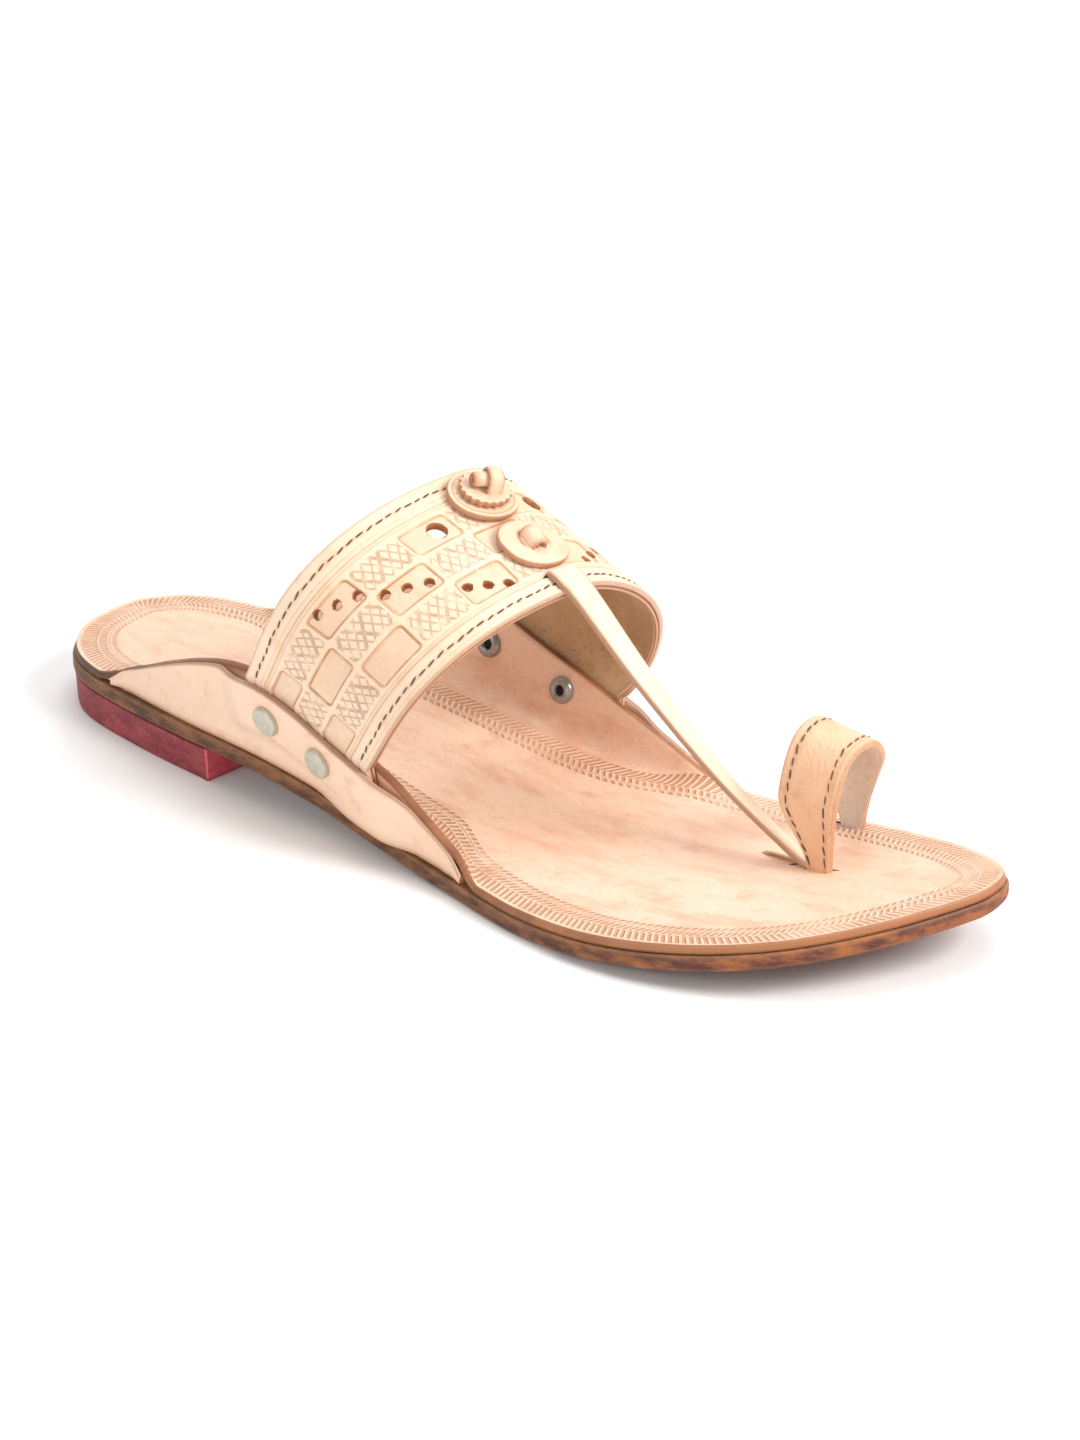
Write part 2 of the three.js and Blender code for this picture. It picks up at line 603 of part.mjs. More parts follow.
// Toe loop: u from its outer foot to its inner foot, v from its rear to its front edge
const LOOP_OUTER = 0.829;
const LOOP_INNER = 0.807;
const LOOP_Y = 23.2;
const LOOP_FORWARD = 2;
const LOOP_TILT = 1.8;
const LOOP_TAPER = 0.2;
const LOOP_SQUARE = 2.5;
const LOOP_ROOT = OUTSOLE_THICK + FOOT_LIFT;
function loopMiddle(u, v) {
  const angle = Math.PI * u;
  const high = Math.sin(angle);
  const taper = u < 0.5 ? smooth(0, LOOP_TAPER, u) : smooth(0, LOOP_TAPER / 2, 1 - u);
  const rear = lerp(u < 0.5 ? -0.05 : 0.3, 0.5, taper);
  const width = lerp(-rear, 0.5, v);
  const centre = lerp(LOOP_OUTER, LOOP_INNER, u) * LENGTH + LOOP_FORWARD * high;
  const s = centre + width * LOOP_WIDTH;
  const squared = (x) => Math.sign(x) * Math.abs(x) ** (2 / LOOP_SQUARE);
  const y = LOOP_Y - (LOOP_SPAN / 2) * squared(Math.cos(angle));
  const root = soleBottom(s) + LOOP_ROOT;
  const z = root + (LOOP_HEIGHT - LOOP_ROOT + OUTSOLE_THICK) * squared(high);
  return new THREE.Vector3(s, y, z - width * 2 * LOOP_TILT * high);
}
function loopPoint(u, v, off) {
  const clamped = THREE.MathUtils.clamp(u, STEP, 1 - STEP);
  const du = loopMiddle(clamped + STEP, v).sub(loopMiddle(clamped - STEP, v));
  const dv = loopMiddle(clamped, v + STEP).sub(loopMiddle(clamped, v - STEP));
  const out = du.cross(dv).normalize();
  if (out.dot(new THREE.Vector3(0, loopMiddle(clamped, v).y - LOOP_Y, 5)) < 0) out.negate();
  if (u < 0.08 || u > 0.92) out.set(0, u < 0.5 ? -1 : 1, 0);
  return loopMiddle(u, v).addScaledVector(out, off);
}
const loop = sheet(loopPoint, LOOP_THICK, 24, 3);

const upper = join([bandBlank, thong, loop].map(toManifold));
const upperTools = [...punches, ...eyes, ...RIVETS.map(rivetHole)];
add('upper', cut(fromManifold(upper), upperTools), CREAM);

// Slots in the insole for the loop's feet and the thong's end
function slotBox(fromS, toS, fromY, toY) {
  const low = soleBottom(fromS) + OUTSOLE_THICK - 4;
  const box = new THREE.BoxGeometry(toS - fromS, toY - fromY, 16);
  box.translate((fromS + toS) / 2 - HEEL_CENTRE, (fromY + toY) / 2, low + 8);
  return box;
}
const footWall = LOOP_THICK / 2 + SLOT_CLEAR;
const outerFootY = LOOP_Y - LOOP_SPAN / 2;
const innerFootY = LOOP_Y + LOOP_SPAN / 2;
const footSpan = (u) => [loopMiddle(u, 0).x - SLOT_CLEAR, loopMiddle(u, 1).x + SLOT_CLEAR];
const thongHalf = (THONG_WIDTH * THONG_NARROW) / 2 + SLOT_CLEAR;
const slots = [
  slotBox(...footSpan(0), outerFootY - footWall, outerFootY + footWall),
  slotBox(...footSpan(1), innerFootY - footWall, innerFootY + footWall),
  slotBox(footS - 6, footS + 2, THONG_FOOT.y - thongHalf, THONG_FOOT.y + thongHalf),
];
add('insole', cut(insoleBlank, [...holesOn(-1), ...holesOn(1), ...slots]), PEACH);

// Buttons on the band's crown: each disc lies on the band, bent with it
const REAR_BUTTON = 0.24;
const FRONT_BUTTON = 0.655;
function onBand(along, x, y, off) {
  const u = crownShare(along);
  const du = bandMiddle(u + STEP, along).sub(bandMiddle(u - STEP, along)).divideScalar(2 * STEP);
  const dv = bandMiddle(u, along + STEP).sub(bandMiddle(u, along - STEP)).divideScalar(2 * STEP);
  const right = du.clone().normalize();
  const back = bandNormal(u, along).cross(right).normalize();
  const wanted = right.clone().multiplyScalar(x).addScaledVector(back, y);
  const [a, b, c] = [du.dot(right), dv.dot(right), dv.dot(back)];
  const stepV = wanted.dot(back) / c;
  const stepU = (wanted.dot(right) - stepV * b) / a;
  const point = bandPoint(u + stepU, along + stepV, BAND_THICK / 2 + off);
  return { point: place([point.x, point.y, point.z]), right, back };
}
// A disc with its rim pinked by `pink` where asked.
function disc(along, width, thick, base, pink) {
  const around = pink ? PINKS * 2 : 22;
  const vertices = [];
  const faces = [];
  [0, thick].forEach((height) => {
    vertices.push(onBand(along, 0, 0, base + height).point);
    [0.5, 1].forEach((ring) => {
      for (let i = 0; i < around; i += 1) {
        const angle = (i / around) * 2 * Math.PI;
        const tooth = pink && ring === 1 && i % 2 ? 1 - pink : 1;
        const r = (width / 2) * ring * tooth;
        vertices.push(onBand(along, r * Math.cos(angle), r * Math.sin(angle), base + height).point);
      }
    });
  });
  const row = 1 + 2 * around;
  for (let i = 0; i < around; i += 1) {
    const j = (i + 1) % around;
    const [a, b, c, d] = [1 + i, 1 + j, 1 + around + i, 1 + around + j];
    faces.push([0, b, a], [a, b, d], [a, d, c]);
    faces.push([row, a + row, b + row], [a + row, d + row, b + row], [a + row, c + row, d + row]);
    faces.push([c, d, d + row], [c, d + row, c + row]);
  }
  return solid(vertices, faces);
}
// A strip of leather rolled into a small ring that leans off its stem's top.
function knot(base, height, lean) {
  const stem = new THREE.CylinderGeometry(KNOT_ROLL, KNOT_ROLL * 1.3, height, 8);
  stem.rotateX(Math.PI / 2);
  stem.translate(0, 0, base + height / 2);
  const ring = new THREE.TorusGeometry(KNOT_RING, KNOT_ROLL, 6, 14);
  ring.rotateX(lean);
  ring.translate(0, KNOT_RING * Math.cos(lean), base + height + KNOT_RING * Math.sin(lean));
  return fromManifold(join([stem, ring].map(toManifold)));
}
// Where a knot stands: its foot at the disc's middle, its axis along the band's normal.
function knotFrame(along) {
  const { right, back } = onBand(along, 0, 0, 0);
  const foot = new THREE.Vector3(...onBand(along, 0, 0, 0).point);
  return new THREE.Matrix4().makeBasis(right, back, right.clone().cross(back)).setPosition(foot);
}
const pinkedBase = CLEAR + DISC_THICK + CLEAR;
const knotBase = pinkedBase + DISC_THICK + CLEAR;
add('rear_button_disc', disc(REAR_BUTTON, REAR_DISC, DISC_THICK, CLEAR, 0), TAN);
add('rear_button_pinked', disc(REAR_BUTTON, PINKED_DISC, DISC_THICK, pinkedBase, 0.1), TAN);
add('rear_button_knot', knot(knotBase + CLEAR, KNOT_STEM, REAR_KNOT_LEAN).applyMatrix4(knotFrame(REAR_BUTTON)), TAN);
add('front_button_disc', disc(FRONT_BUTTON, FRONT_DISC, DISC_THICK, CLEAR, 0), TAN);
add('front_button_knot', knot(pinkedBase + CLEAR, KNOT_STEM, FRONT_KNOT_LEAN).applyMatrix4(knotFrame(FRONT_BUTTON)), TAN);

export default group;
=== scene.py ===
# %% [markdown]
# # A kolhapuri sandal, piece by piece
#
# This lesson dresses the solid model of a right-foot leather sandal. The solids give every
# piece its place and size. Here each leather piece is made again with a fine surface: tooled,
# stitched, stamped, punched and burnished, as the maker's hand leaves it.
# Lengths are worked out in millimetres and turned into metres when a mesh is made. One unit of
# the pattern coordinates, which the finishes are laid out in, is PATTERN_UNIT millimetres.

# %% Load the frame
import math
import bmesh
import bpy
import numpy as np
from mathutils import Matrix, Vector


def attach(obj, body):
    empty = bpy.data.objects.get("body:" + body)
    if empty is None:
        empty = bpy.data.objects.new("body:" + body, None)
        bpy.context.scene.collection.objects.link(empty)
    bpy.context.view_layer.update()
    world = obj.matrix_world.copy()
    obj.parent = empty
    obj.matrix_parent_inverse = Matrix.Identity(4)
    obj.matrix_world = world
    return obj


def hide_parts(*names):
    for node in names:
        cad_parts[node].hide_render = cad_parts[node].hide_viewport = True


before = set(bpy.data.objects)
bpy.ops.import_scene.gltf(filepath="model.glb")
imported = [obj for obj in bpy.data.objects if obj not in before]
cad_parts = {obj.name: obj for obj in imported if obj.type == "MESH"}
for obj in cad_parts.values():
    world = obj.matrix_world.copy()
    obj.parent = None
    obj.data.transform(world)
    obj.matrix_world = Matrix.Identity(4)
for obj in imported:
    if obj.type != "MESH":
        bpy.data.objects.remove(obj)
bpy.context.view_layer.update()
MM = 0.001
PATTERN_UNIT = 100
print("nodes in the frame:", len(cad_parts))

# %% [markdown]
# ## The sizes the pieces share
#
# These are the sandal's own sizes, the same ones that its solids are built from, so most pieces
# made again from them fall on their solids. The thong, the toe loop, the discs, the knots and
# the band's inner rear shoulder are drawn up to a few millimetres off theirs, after the
# reference view.

# %% Name the sizes
LENGTH = 280
BALL_WIDTH = 88
HEEL_CENTRE = 35
HEEL_HEIGHT = 9
HEEL_FRONT = 77
OUTSOLE_THICK = 4
INSOLE_THICK = 2.2
TOE_SPRING = 12.4
SPRING_FROM = 188
FOREFOOT_FROM = 172
INSOLE_INSET = 0.6
CLEAR = 0.3
GLUE = 0.12
EAR_HEIGHT = 22.5
EAR_THICK = 1.8
EAR_LEAN = math.radians(13)
TURN = math.pi / 2 - EAR_LEAN
FOLD_RADIUS = 4.5
FOLD_RUN = 4
EAR_ROOM = 2.0
BAND_THICK = 2.6
BAND_SINK = 12
OUTLINE = [
    [0, 0.046], [0.018, -0.149], [0.071, -0.293], [0.161, -0.356], [0.286, -0.394],
    [0.429, -0.407], [0.571, -0.455], [0.679, -0.517], [0.768, -0.529], [0.85, -0.471],
    [0.918, -0.35], [0.968, -0.161], [1, 0.057], [1.006, 0.184], [0.989, 0.31],
    [0.936, 0.408], [0.857, 0.46], [0.75, 0.471], [0.643, 0.454], [0.5, 0.429],
    [0.357, 0.402], [0.214, 0.373], [0.107, 0.35], [0.043, 0.293], [0.007, 0.172],
]
EAR_OUTER = [
    [0.1, 0], [0.164, 0.267], [0.214, 0.533], [0.271, 0.8], [0.321, 0.956], [0.368, 1],
    [0.407, 0.933], [0.45, 0.8], [0.493, 0.693], [0.521, 0.6], [0.557, 0.356], [0.593, 0.142],
    [0.636, 0],
]
EAR_INNER = [
    [0.1, 0], [0.164, 0.267], [0.214, 0.533], [0.271, 0.8], [0.329, 0.978], [0.386, 0.978],
    [0.436, 0.844], [0.493, 0.689], [0.536, 0.556], [0.579, 0.422], [0.614, 0.276],
    [0.646, 0.116], [0.682, 0],
]
OUTER, INNER = -1, 1


# %% [markdown]
# ## Small tools
#
# A mesh here is nearly always a skin: a stack of closed rings of points with faces between
# neighbouring rings. One function makes any of them, gives it its pattern coordinates and its
# paint mask, closes its ends and turns its faces outwards. The mask holds three numbers a
# point: red marks hatched tooling, green marks a pressed or shaded place, blue a burnished edge.

# %% Write the skin maker
def smooth(start, end, x):
    t = np.clip((np.asarray(x, float) - start) / (end - start), 0, 1)
    return t * t * (3 - 2 * t)


def mix(a, b, t):
    return a + (b - a) * t


def finish_mesh(name, mesh, materials, sharp=50, weld=1e-6):
    """Merges doubles, drops empty faces, turns the faces outwards and makes the object."""
    shape = bmesh.new()
    shape.from_mesh(mesh)
    bmesh.ops.remove_doubles(shape, verts=shape.verts, dist=weld)
    bmesh.ops.dissolve_degenerate(shape, edges=shape.edges, dist=weld)
    if shape.calc_volume(signed=True) < 0:
        bmesh.ops.reverse_faces(shape, faces=shape.faces)
    open_edges = sum(1 for edge in shape.edges if not edge.is_manifold)
    shape.to_mesh(mesh)
    shape.free()
    mesh.shade_smooth()
    mesh.set_sharp_from_angle(angle=math.radians(sharp))
    piece = bpy.data.objects.new(name, mesh)
    bpy.context.scene.collection.objects.link(piece)
    for one in materials:
        mesh.materials.append(one)
    print(f"{name}: {len(mesh.vertices)} points, {len(mesh.polygons)} faces, {open_edges} open edges")
    return piece


def skin(name, rings, materials, pattern=None, mask=None, slot_of=None, caps=True, sharp=50):
    """rings: (count, points in a ring, 3) in mm, measured from the heel's back."""
    rings = np.asarray(rings, float)
    count, around = rings.shape[:2]
    places = rings.reshape(-1, 3) - [HEEL_CENTRE, 0, 0]
    a = (np.arange(count - 1)[:, None] * around + np.arange(around)[None, :])
    b = (np.arange(count - 1)[:, None] * around + (np.arange(around) + 1)[None, :] % around)
    faces = np.stack([a, b, b + around, a + around], -1).reshape(-1, 4).tolist()
    slots = [0] * len(faces)
    if slot_of is not None:
        slots = list(np.tile(slot_of, count - 1))
    if caps:
        faces.append(list(range(around - 1, -1, -1)))
        faces.append([(count - 1) * around + k for k in range(around)])
        slots += [0, 0]
    mesh = bpy.data.meshes.new(name)
    mesh.from_pydata((places * MM).tolist(), [], faces)
    mesh.polygons.foreach_set("material_index", slots)
    corners = np.zeros(len(mesh.loops), dtype=np.int32)
    mesh.loops.foreach_get("vertex_index", corners)
    if pattern is not None:
        layer = mesh.uv_layers.new(name="Pattern")
        flat = np.asarray(pattern, float).reshape(-1, 2)[corners] / PATTERN_UNIT
        layer.data.foreach_set("uv", flat.ravel())
    paint = mesh.color_attributes.new("Mask", "FLOAT_COLOR", "POINT")
    values = np.zeros((len(places), 4))
    values[:, 3] = 1
    if mask is not None:
        values[:, :3] = np.asarray(mask, float).reshape(-1, 3)
    paint.data.foreach_set("color", values.ravel())
    return finish_mesh(name, mesh, materials, sharp)


def ripple(x, y, size, seed=0.0):
    """A gentle unevenness between -1 and 1, the same on every run."""
    return (np.sin(x / size + 1.7 * seed + 1.3 * np.sin(y / size * 0.8 + seed))
            + np.sin(y / size * 1.3 + 2.1 + seed + 1.1 * np.sin(x / size * 0.6 - seed))) / 2


# %% [markdown]
# ## The sole's outline and heights
#
# The outline is a smooth closed curve through a short table of shares of the length and of the
# ball's width. From it come evenly spaced columns round each side, every one with its inward
# direction, which the sole's layers and the stamped border follow.

# %% Work out the outline
def closed_curve(points, steps):
    points = np.asarray(points, float)
    t = np.arange(steps)[:, None] / steps
    runs = []
    for i in range(len(points)):
        p0, p1, p2, p3 = (points[(i + k) % len(points)] for k in (-1, 0, 1, 2))
        leave, arrive = (p2 - p0) / 2, (p3 - p1) / 2
        runs.append((2 * t**3 - 3 * t**2 + 1) * p1 + (t**3 - 2 * t**2 + t) * leave
                    + (3 * t**2 - 2 * t**3) * p2 + (t**3 - t**2) * arrive)
    return np.concatenate(runs)


outline = closed_curve([[x * LENGTH, y * BALL_WIDTH] for x, y in OUTLINE], 24)
outline = np.roll(outline, -int(np.argmin(outline[:, 0])), axis=0)
toe_end = int(np.argmax(outline[:, 0]))
ahead = np.roll(outline, -1, axis=0) - np.roll(outline, 1, axis=0)
ahead /= np.linalg.norm(ahead, axis=1)[:, None]
inward = np.stack([-ahead[:, 1], ahead[:, 0]], 1)
CHAINS = {
    OUTER: (outline[:toe_end + 1], inward[:toe_end + 1]),
    INNER: (np.vstack([outline[toe_end:], outline[:1]])[::-1],
            np.vstack([inward[toe_end:], inward[:1]])[::-1]),
}
COLUMNS = 330


def columns(side, count=COLUMNS):
    """Evenly spaced points along one side from heel to toe: places, inward directions, arcs."""
    places, directions = CHAINS[side]
    steps = np.linalg.norm(np.diff(places, axis=0), axis=1)
    arc = np.concatenate([[0], np.cumsum(steps)])
    wanted = np.linspace(0, arc[-1], count + 1)
    at = np.stack([np.interp(wanted, arc, places[:, k]) for k in (0, 1)], 1)
    turn = np.stack([np.interp(wanted, arc, directions[:, k]) for k in (0, 1)], 1)
    turn /= np.linalg.norm(turn, axis=1)[:, None]
    return at, turn, wanted


def edge_y(s, side):
    places = CHAINS[side][0]
    return np.interp(s, places[:, 0], places[:, 1])


def sole_bottom(s):
    s = np.asarray(s, float)
    waist = HEEL_HEIGHT * (1 - smooth(HEEL_FRONT + 2, FOREFOOT_FROM, s))
    reach = np.maximum(0, (s - SPRING_FROM) / (LENGTH - SPRING_FROM))
    return waist + TOE_SPRING * reach ** 1.6


def outsole_top(s):
    return sole_bottom(s) + OUTSOLE_THICK


def insole_top(s):
    return outsole_top(s) + GLUE + INSOLE_THICK


print("outline points:", len(outline), "length", round(float(np.ptp(outline[:, 0])), 1))


# %% [markdown]
# ## The ears' shape
#
# Each side of the top sole is turned up as an ear. The leather runs level, bends round a fold
# and goes on straight, leaning a little outwards. A point on it is named by how far it lies
# along the leather and how far out of its inner face.

# %% Work out the ears
def through(rows):
    table = np.asarray(rows, float)
    x, y = table[:, 0], table[:, 1]
    slope = np.zeros(len(x))
    slope[1:-1] = (y[2:] - y[:-2]) / (x[2:] - x[:-2])

    def value(s):
        i = np.clip(np.searchsorted(x, s, side="left") - 1, 0, len(x) - 2)
        run = x[i + 1] - x[i]
        t = np.clip((s - x[i]) / run, 0, 1)
        return ((2 * t**3 - 3 * t**2 + 1) * y[i] + (t**3 - 2 * t**2 + t) * run * slope[i]
                + (3 * t**2 - 2 * t**3) * y[i + 1] + (t**3 - t**2) * run * slope[i + 1])
    return value


ear_curves = {
    OUTER: through([[x * LENGTH, h * EAR_HEIGHT] for x, h in EAR_OUTER]),
    INNER: through([[x * LENGTH, h * EAR_HEIGHT] for x, h in EAR_INNER]),
}


def ear_height(s, side):
    return np.maximum(0, ear_curves[side](np.asarray(s, float)))


def upturn(s, side):
    """How much leather lies beyond the level part."""
    h = ear_height(s, side)
    rise = FOLD_RADIUS * (1 - math.cos(TURN))
    low = np.maximum(1.2, FOLD_RADIUS * np.arccos(np.clip(1 - h / FOLD_RADIUS, -1, 1)))
    return np.where(h < rise, low, FOLD_RADIUS * TURN + (h - rise) / math.sin(TURN))


def edge_path(run, off):
    """Across and up of a point of the turned-up edge, from where the level part starts."""
    run, off = np.broadcast_arrays(np.asarray(run, float), np.asarray(off, float))
    angle = np.clip((run - FOLD_RUN) / FOLD_RADIUS, 0, TURN)
    straight = np.maximum(0, run - FOLD_RUN - FOLD_RADIUS * angle)
    across = FOLD_RUN + (FOLD_RADIUS + off) * np.sin(angle) + straight * np.cos(angle)
    up = FOLD_RADIUS - (FOLD_RADIUS + off) * np.cos(angle) + straight * np.sin(angle)
    level = run < FOLD_RUN
    return np.where(level, run, across), np.where(level, -off, up)


def edge_reach(s, side):
    """Distance from the outline to where the level part starts."""
    room = INSOLE_INSET + EAR_ROOM * smooth(0, 4, ear_height(s, side))
    full = FOLD_RUN + np.minimum(upturn(s, side), FOLD_RADIUS * TURN + 2)
    return room + edge_path(full, INSOLE_THICK)[0]


def ear_point(s, side, run, off):
    across, up = edge_path(run, off)
    return edge_y(s, side) - side * (edge_reach(s, side) - across), insole_top(s) + up


def ear_face(s, side, z, off):
    across, up = edge_path(FOLD_RUN + FOLD_RADIUS * TURN, off)
    rise = z - insole_top(s) - up
    return edge_y(s, side) - side * (edge_reach(s, side) - across - rise / math.tan(TURN))


def ear_top(s, side):
    return insole_top(s) + ear_height(s, side)


print("ear heights:", [round(float(ear_height(100, side)), 1) for side in (OUTER, INNER)])


# %% [markdown]
# ## Finishes
#
# Every finish is made of the same few node steps: a base colour, soft clouds of lighter and
# darker leather, a pattern in the piece's own coordinates, and a height that becomes bump.
# A small helper writes the nodes, so each finish below reads as a short recipe.

# %% Write the node helper
class Recipe:
    """Builds one material. Every method returns an output socket to use in the next step."""

    def __init__(self, name, roughness=0.5, specular=0.4, metallic=0.0, coat=0.0, sheen=0.0):
        self.material = bpy.data.materials.new(name)
        self.material.use_nodes = True
        self.tree = self.material.node_tree
        self.shader = self.tree.nodes["Principled BSDF"]
        self.shader.inputs["Roughness"].default_value = roughness
        self.shader.inputs["Specular IOR Level"].default_value = specular
        self.shader.inputs["Metallic"].default_value = metallic
        self.shader.inputs["Coat Weight"].default_value = coat
        self.shader.inputs["Sheen Weight"].default_value = sheen
        self.place = self.node("ShaderNodeTexCoord").outputs["Object"]

    def node(self, kind, **values):
        made = self.tree.nodes.new(kind)
        for key, value in values.items():
            setattr(made, key, value)
        return made

    def feed(self, socket, value):
        if isinstance(value, bpy.types.NodeSocket):
            self.tree.links.new(value, socket)
        else:
            socket.default_value = value

    def math(self, operation, a, b=0.0, c=0.0):
        made = self.node("ShaderNodeMath", operation=operation)
        for socket, value in zip(made.inputs, (a, b, c)):
            self.feed(socket, value)
        return made.outputs[0]

    def span(self, value, low, high, to_low=0.0, to_high=1.0):
        made = self.node("ShaderNodeMapRange", interpolation_type="SMOOTHSTEP")
        for key, one in zip(("Value", "From Min", "From Max", "To Min", "To Max"),
                            (value, low, high, to_low, to_high)):
            self.feed(made.inputs[key], one)
        return made.outputs["Result"]

    def blend(self, share, a, b):
        made = self.node("ShaderNodeMix", data_type="RGBA")
        self.feed(made.inputs["Factor"], share)
        for socket, value in zip((made.inputs[6], made.inputs[7]), (a, b)):
            self.feed(socket, (*value, 1) if isinstance(value, tuple) else value)
        return made.outputs[2]

    def noise(self, scale, detail=2.0, rough=0.5, place=None, stretch=None):
        where = place or self.place
        if stretch:
            mapping = self.node("ShaderNodeMapping")
            mapping.inputs["Scale"].default_value = stretch
            self.feed(mapping.inputs["Vector"], where)
            where = mapping.outputs[0]
        made = self.node("ShaderNodeTexNoise")
        self.feed(made.inputs["Vector"], where)
        made.inputs["Scale"].default_value = scale
        made.inputs["Detail"].default_value = detail
        made.inputs["Roughness"].default_value = rough
        return made.outputs["Fac"]

    def pores(self, scale):
        made = self.node("ShaderNodeTexVoronoi", feature="SMOOTH_F1")
        self.feed(made.inputs["Vector"], self.place)
        made.inputs["Scale"].default_value = scale
        return made.outputs["Distance"]

    def along(self):
        """The pattern coordinates in millimetres: along the piece and across it."""
        split = self.node("ShaderNodeSeparateXYZ")
        self.feed(split.inputs[0], self.node("ShaderNodeUVMap", uv_map="Pattern").outputs[0])
        return [self.math("MULTIPLY", split.outputs[k], float(PATTERN_UNIT)) for k in (0, 1)]

    def mask(self):
        split = self.node("ShaderNodeSeparateColor")
        self.feed(split.inputs[0], self.node("ShaderNodeVertexColor", layer_name="Mask").outputs[0])
        return [split.outputs[k] for k in range(3)]

    def lines(self, value, pitch, width, soft=0.25):
        """One where `value` is on a line, lines lying `pitch` apart and `width` wide."""
        part = self.math("FRACT", self.math("DIVIDE", value, pitch))
        off = self.math("MULTIPLY", self.math("ABSOLUTE", self.math("SUBTRACT", part, 0.5)), pitch)
        return self.span(off, width / 2 * (1 - soft), width / 2 * (1 + soft), 1.0, 0.0)

    def strip(self, value, low, high, soft=0.3):
        """One between two values, fading over `soft` at each end."""
        return self.math("MULTIPLY", self.span(value, low - soft, low + soft),
                         self.span(value, high - soft, high + soft, 1.0, 0.0))

    def finish(self, colour, height, depth, roughness=None):
        """Sets colour and bump. `height` is in shares of `depth` millimetres."""
        self.feed(self.shader.inputs["Base Color"], colour)
        bump = self.node("ShaderNodeBump")
        bump.inputs["Distance"].default_value = depth * MM
        bump.inputs["Strength"].default_value = 1.0
        self.feed(bump.inputs["Height"], height)
        self.feed(self.shader.inputs["Normal"], bump.outputs[0])
        if roughness is not None:
            self.feed(self.shader.inputs["Roughness"], roughness)
        return self.material


def clouded(recipe, base, light, dark, size=26.0):
    """Soft patches of lighter and darker leather."""
    broad = recipe.noise(size, 4.0, 0.55)
    fine = recipe.noise(size * 7, 3.0, 0.6)
    colour = recipe.blend(recipe.span(broad, 0.35, 0.7), base, light)
    return recipe.blend(recipe.span(fine, 0.52, 0.8, 0.0, 0.55), colour, dark)


# %% [markdown]
# ## Leather finishes
#
# The band is the palest leather, nearly cream, with warm tan where a tool has pressed it. The
# top sole and the ears are the same hide a shade pinker, its border stamped with two rows of
# slanted strokes and a dotted row. Cut edges are burnished orange-brown. The pressed tan is
# also painted as shade in hollows, in the top sole's fold and at the foot of the outer ears.

# %% Mix the pale leathers
CREAM = (0.87, 0.64, 0.46)
CREAM_LIGHT = (0.88, 0.69, 0.53)
CREAM_DARK = (0.80, 0.48, 0.29)
# warm tan of pressed leather, also used as painted shade in hollows, folds and at the ears' foot
PRESSED_AND_SHADE_TAN = (0.52, 0.23, 0.095)
PEACH = (0.87, 0.58, 0.42)
PEACH_LIGHT = (0.89, 0.64, 0.49)
PEACH_DARK = (0.70, 0.36, 0.21)
EDGE_BROWN = (0.26, 0.10, 0.045)
EDGE_DARK = (0.085, 0.04, 0.026)
EDGE_RUST = (0.38, 0.15, 0.06)


def tooled_leather():
    r = Recipe("tooled_leather", roughness=0.5, specular=0.38, coat=0.06)
    u, v = r.along()
    hatch, pressed_and_shade, edge = r.mask()
    worn = r.span(r.noise(260, 2.0), 0.3, 0.58, 0.25, 1.0)
    strokes = None
    for lean, pitch in ((0.62, 2.5), (-0.62, 2.5), (0.62, 7.5), (-0.62, 7.5)):
        slanted = r.math("MULTIPLY_ADD", v, lean, u)
        row = r.lines(r.math("ADD", slanted, 0.55 if pitch > 5 else 0.0), pitch, 0.42)
        strokes = row if strokes is None else r.math("MAXIMUM", strokes, row)
    strokes = r.math("MULTIPLY", r.math("MULTIPLY", strokes, hatch), worn)
    colour = clouded(r, CREAM, CREAM_LIGHT, CREAM_DARK)
    colour = r.blend(r.math("MULTIPLY", strokes, 0.5), colour, PRESSED_AND_SHADE_TAN)
    rubbed = r.span(r.noise(220, 3.0), 0.25, 0.55, 0.5, 1.0)
    # green: the tooling's pressed tan, partly painted shade in its grooves and sunk squares
    colour = r.blend(r.math("MULTIPLY", pressed_and_shade, rubbed), colour, PRESSED_AND_SHADE_TAN)
    colour = r.blend(edge, colour, (0.34, 0.13, 0.05))
    height = r.math("MULTIPLY_ADD", strokes, -0.8, 1.0)
    height = r.math("MULTIPLY_ADD", r.noise(900, 3.0, 0.6), 0.3, height)
    height = r.math("MULTIPLY_ADD", r.pores(1500), 0.2, height)
    return r.finish(colour, height, 0.4, r.span(r.noise(60, 3.0), 0.3, 0.7, 0.44, 0.6))


